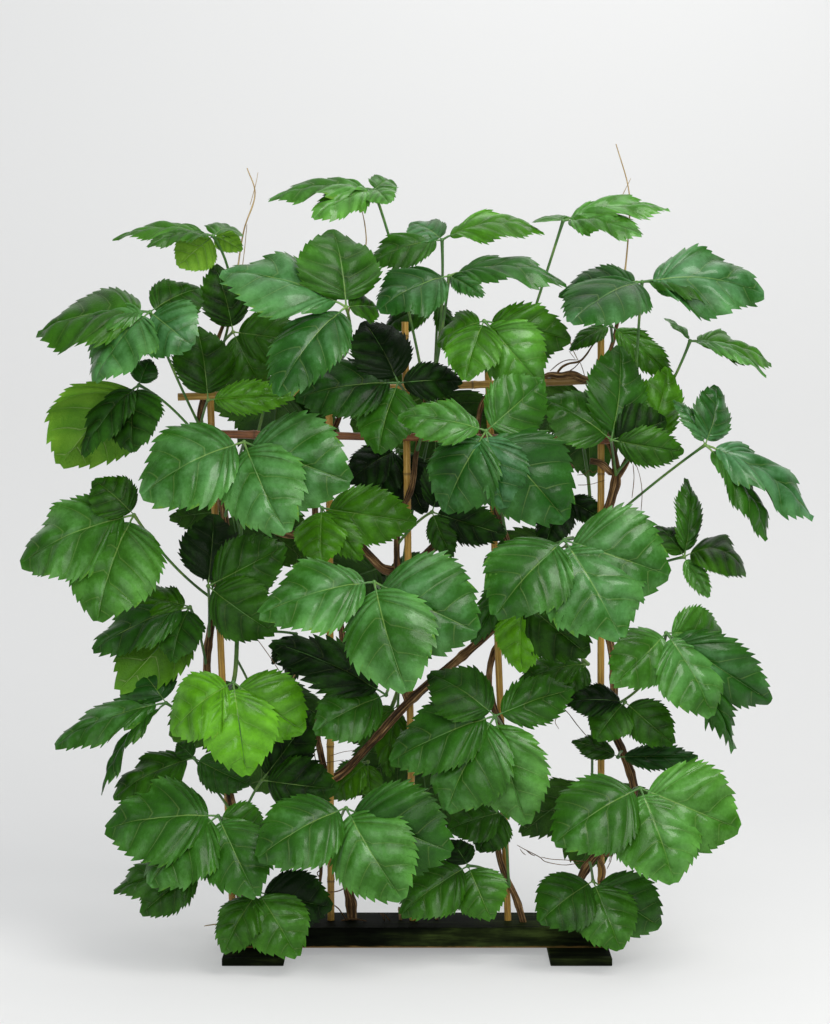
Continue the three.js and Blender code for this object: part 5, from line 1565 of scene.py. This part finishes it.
def nearest(points, pixel):
    flat = seen(*pixel, 0)
    return min(points, key=lambda p: math.hypot(p.x - flat.x, p.z - flat.z)).copy()


def petiolePath(root, hub, normal, via, steps):
    span = (hub - root).length
    share, rise, back = stalkSettings["bend"]
    bend = seen(*via) if via else root.lerp(hub, share) + up * rise * span - normal * back * span
    return bezier(root, bend, hub, steps)


# A petiole is thicker at both ends.
def petioleRadii(steps):
    plain, rootRadius, hubRadius = (stalkSettings[key] for key in ("radius", "rootRadius", "hubRadius"))
    radii = []
    for i in range(steps + 1):
        atRoot = (rootRadius - plain) * math.exp(-i * stalkSettings["rootFade"])
        atHub = (hubRadius - plain) * math.exp(-(steps - i) * stalkSettings["hubFade"])
        radii.append((plain + atRoot + atHub) * mm)
    return radii


# How far a leaflet may be from its listed tone and warmth.
toneSpread = {"light": 0.03, "warmth": 0.05}


def addLeaf(gathered, name, leaf, root):
    draw = random.Random(name)
    hub = seen(*leaf["hub"], leaf["out"])
    normal = facing(*leaf["face"])
    tones = leafTonesAndShading.get(name, hiddenLeafShadeTones)
    for index, (tipX, tipY, ratio, *more) in enumerate(leaf["leaflets"]):
        ahead, turn, arch = more + [None, 0, leafletShape["arch"]][len(more):]
        tip = seenOnPlane(tipX, tipY, hub, normal) if ahead is None else seen(tipX, tipY, leaf["out"] + ahead)
        light, warmth = tones[min(index, len(tones) - 1)]
        light += draw.uniform(-toneSpread["light"], toneSpread["light"])
        warmth += draw.uniform(-toneSpread["warmth"], toneSpread["warmth"])
        addLeaflet(gathered, hub, tip, normal, ratio, turn, arch, (light, warmth), draw)
    steps, via = stalkSettings["steps"], leaf.get("via")
    path = petiolePath(root, hub, normal, via, steps)
    points, faces, _ = tubeMesh(path, petioleRadii(steps), stalkSettings["sides"])
    gathered.add(points, faces, "greenStalk")
    gathered.add(*knobMesh(hub, stalkSettings["knobRadius"] * mm), "greenStalk")
    for index, twin in enumerate(leaf.get("twins", [])):
        marks = petiolePath(root, hub, normal, via, stalkSettings["twinSteps"])
        addLeaf(gathered, f"{name}twin{index}", twin, nearest(marks, twin["root"]))


def newFoliage():
    return Gathered(["leafUpper", "leafUnder", "greenStalk"], ["place", "warmth"])


def makeLeaves():
    for name, leaf in leafPlaces.items():
        gathered = newFoliage()
        addLeaf(gathered, name, leaf, nearest(woodPoints, leaf["root"]))
        makePiece(f"foliage_{name}", gathered, name)


shootSettings = {"steps": 60, "rootRadius": 4, "tipRadius": 2.3}


def makeShoots():
    steps, thick, thin = (shootSettings[key] for key in ("steps", "rootRadius", "tipRadius"))
    radii = [(thick + (thin - thick) * i / steps) * mm for i in range(steps + 1)]
    for name, shoot in shootPlaces.items():
        gathered = newFoliage()
        spline = Spline([nearest(woodPoints, shoot["root"])] + [seen(*place) for place in shoot["path"]])
        path = spline.spaced(steps)
        points, faces, _ = tubeMesh(path, radii, stalkSettings["sides"])
        gathered.add(points, faces, "greenStalk")
        for index, leaf in enumerate(shoot["leaves"]):
            addLeaf(gathered, f"{name}{index}", leaf, nearest(path, leaf["root"]))
        makePiece(f"foliage_{name}", gathered, name)


makeLeaves()
makeShoots()
print("leaves and shoots made")
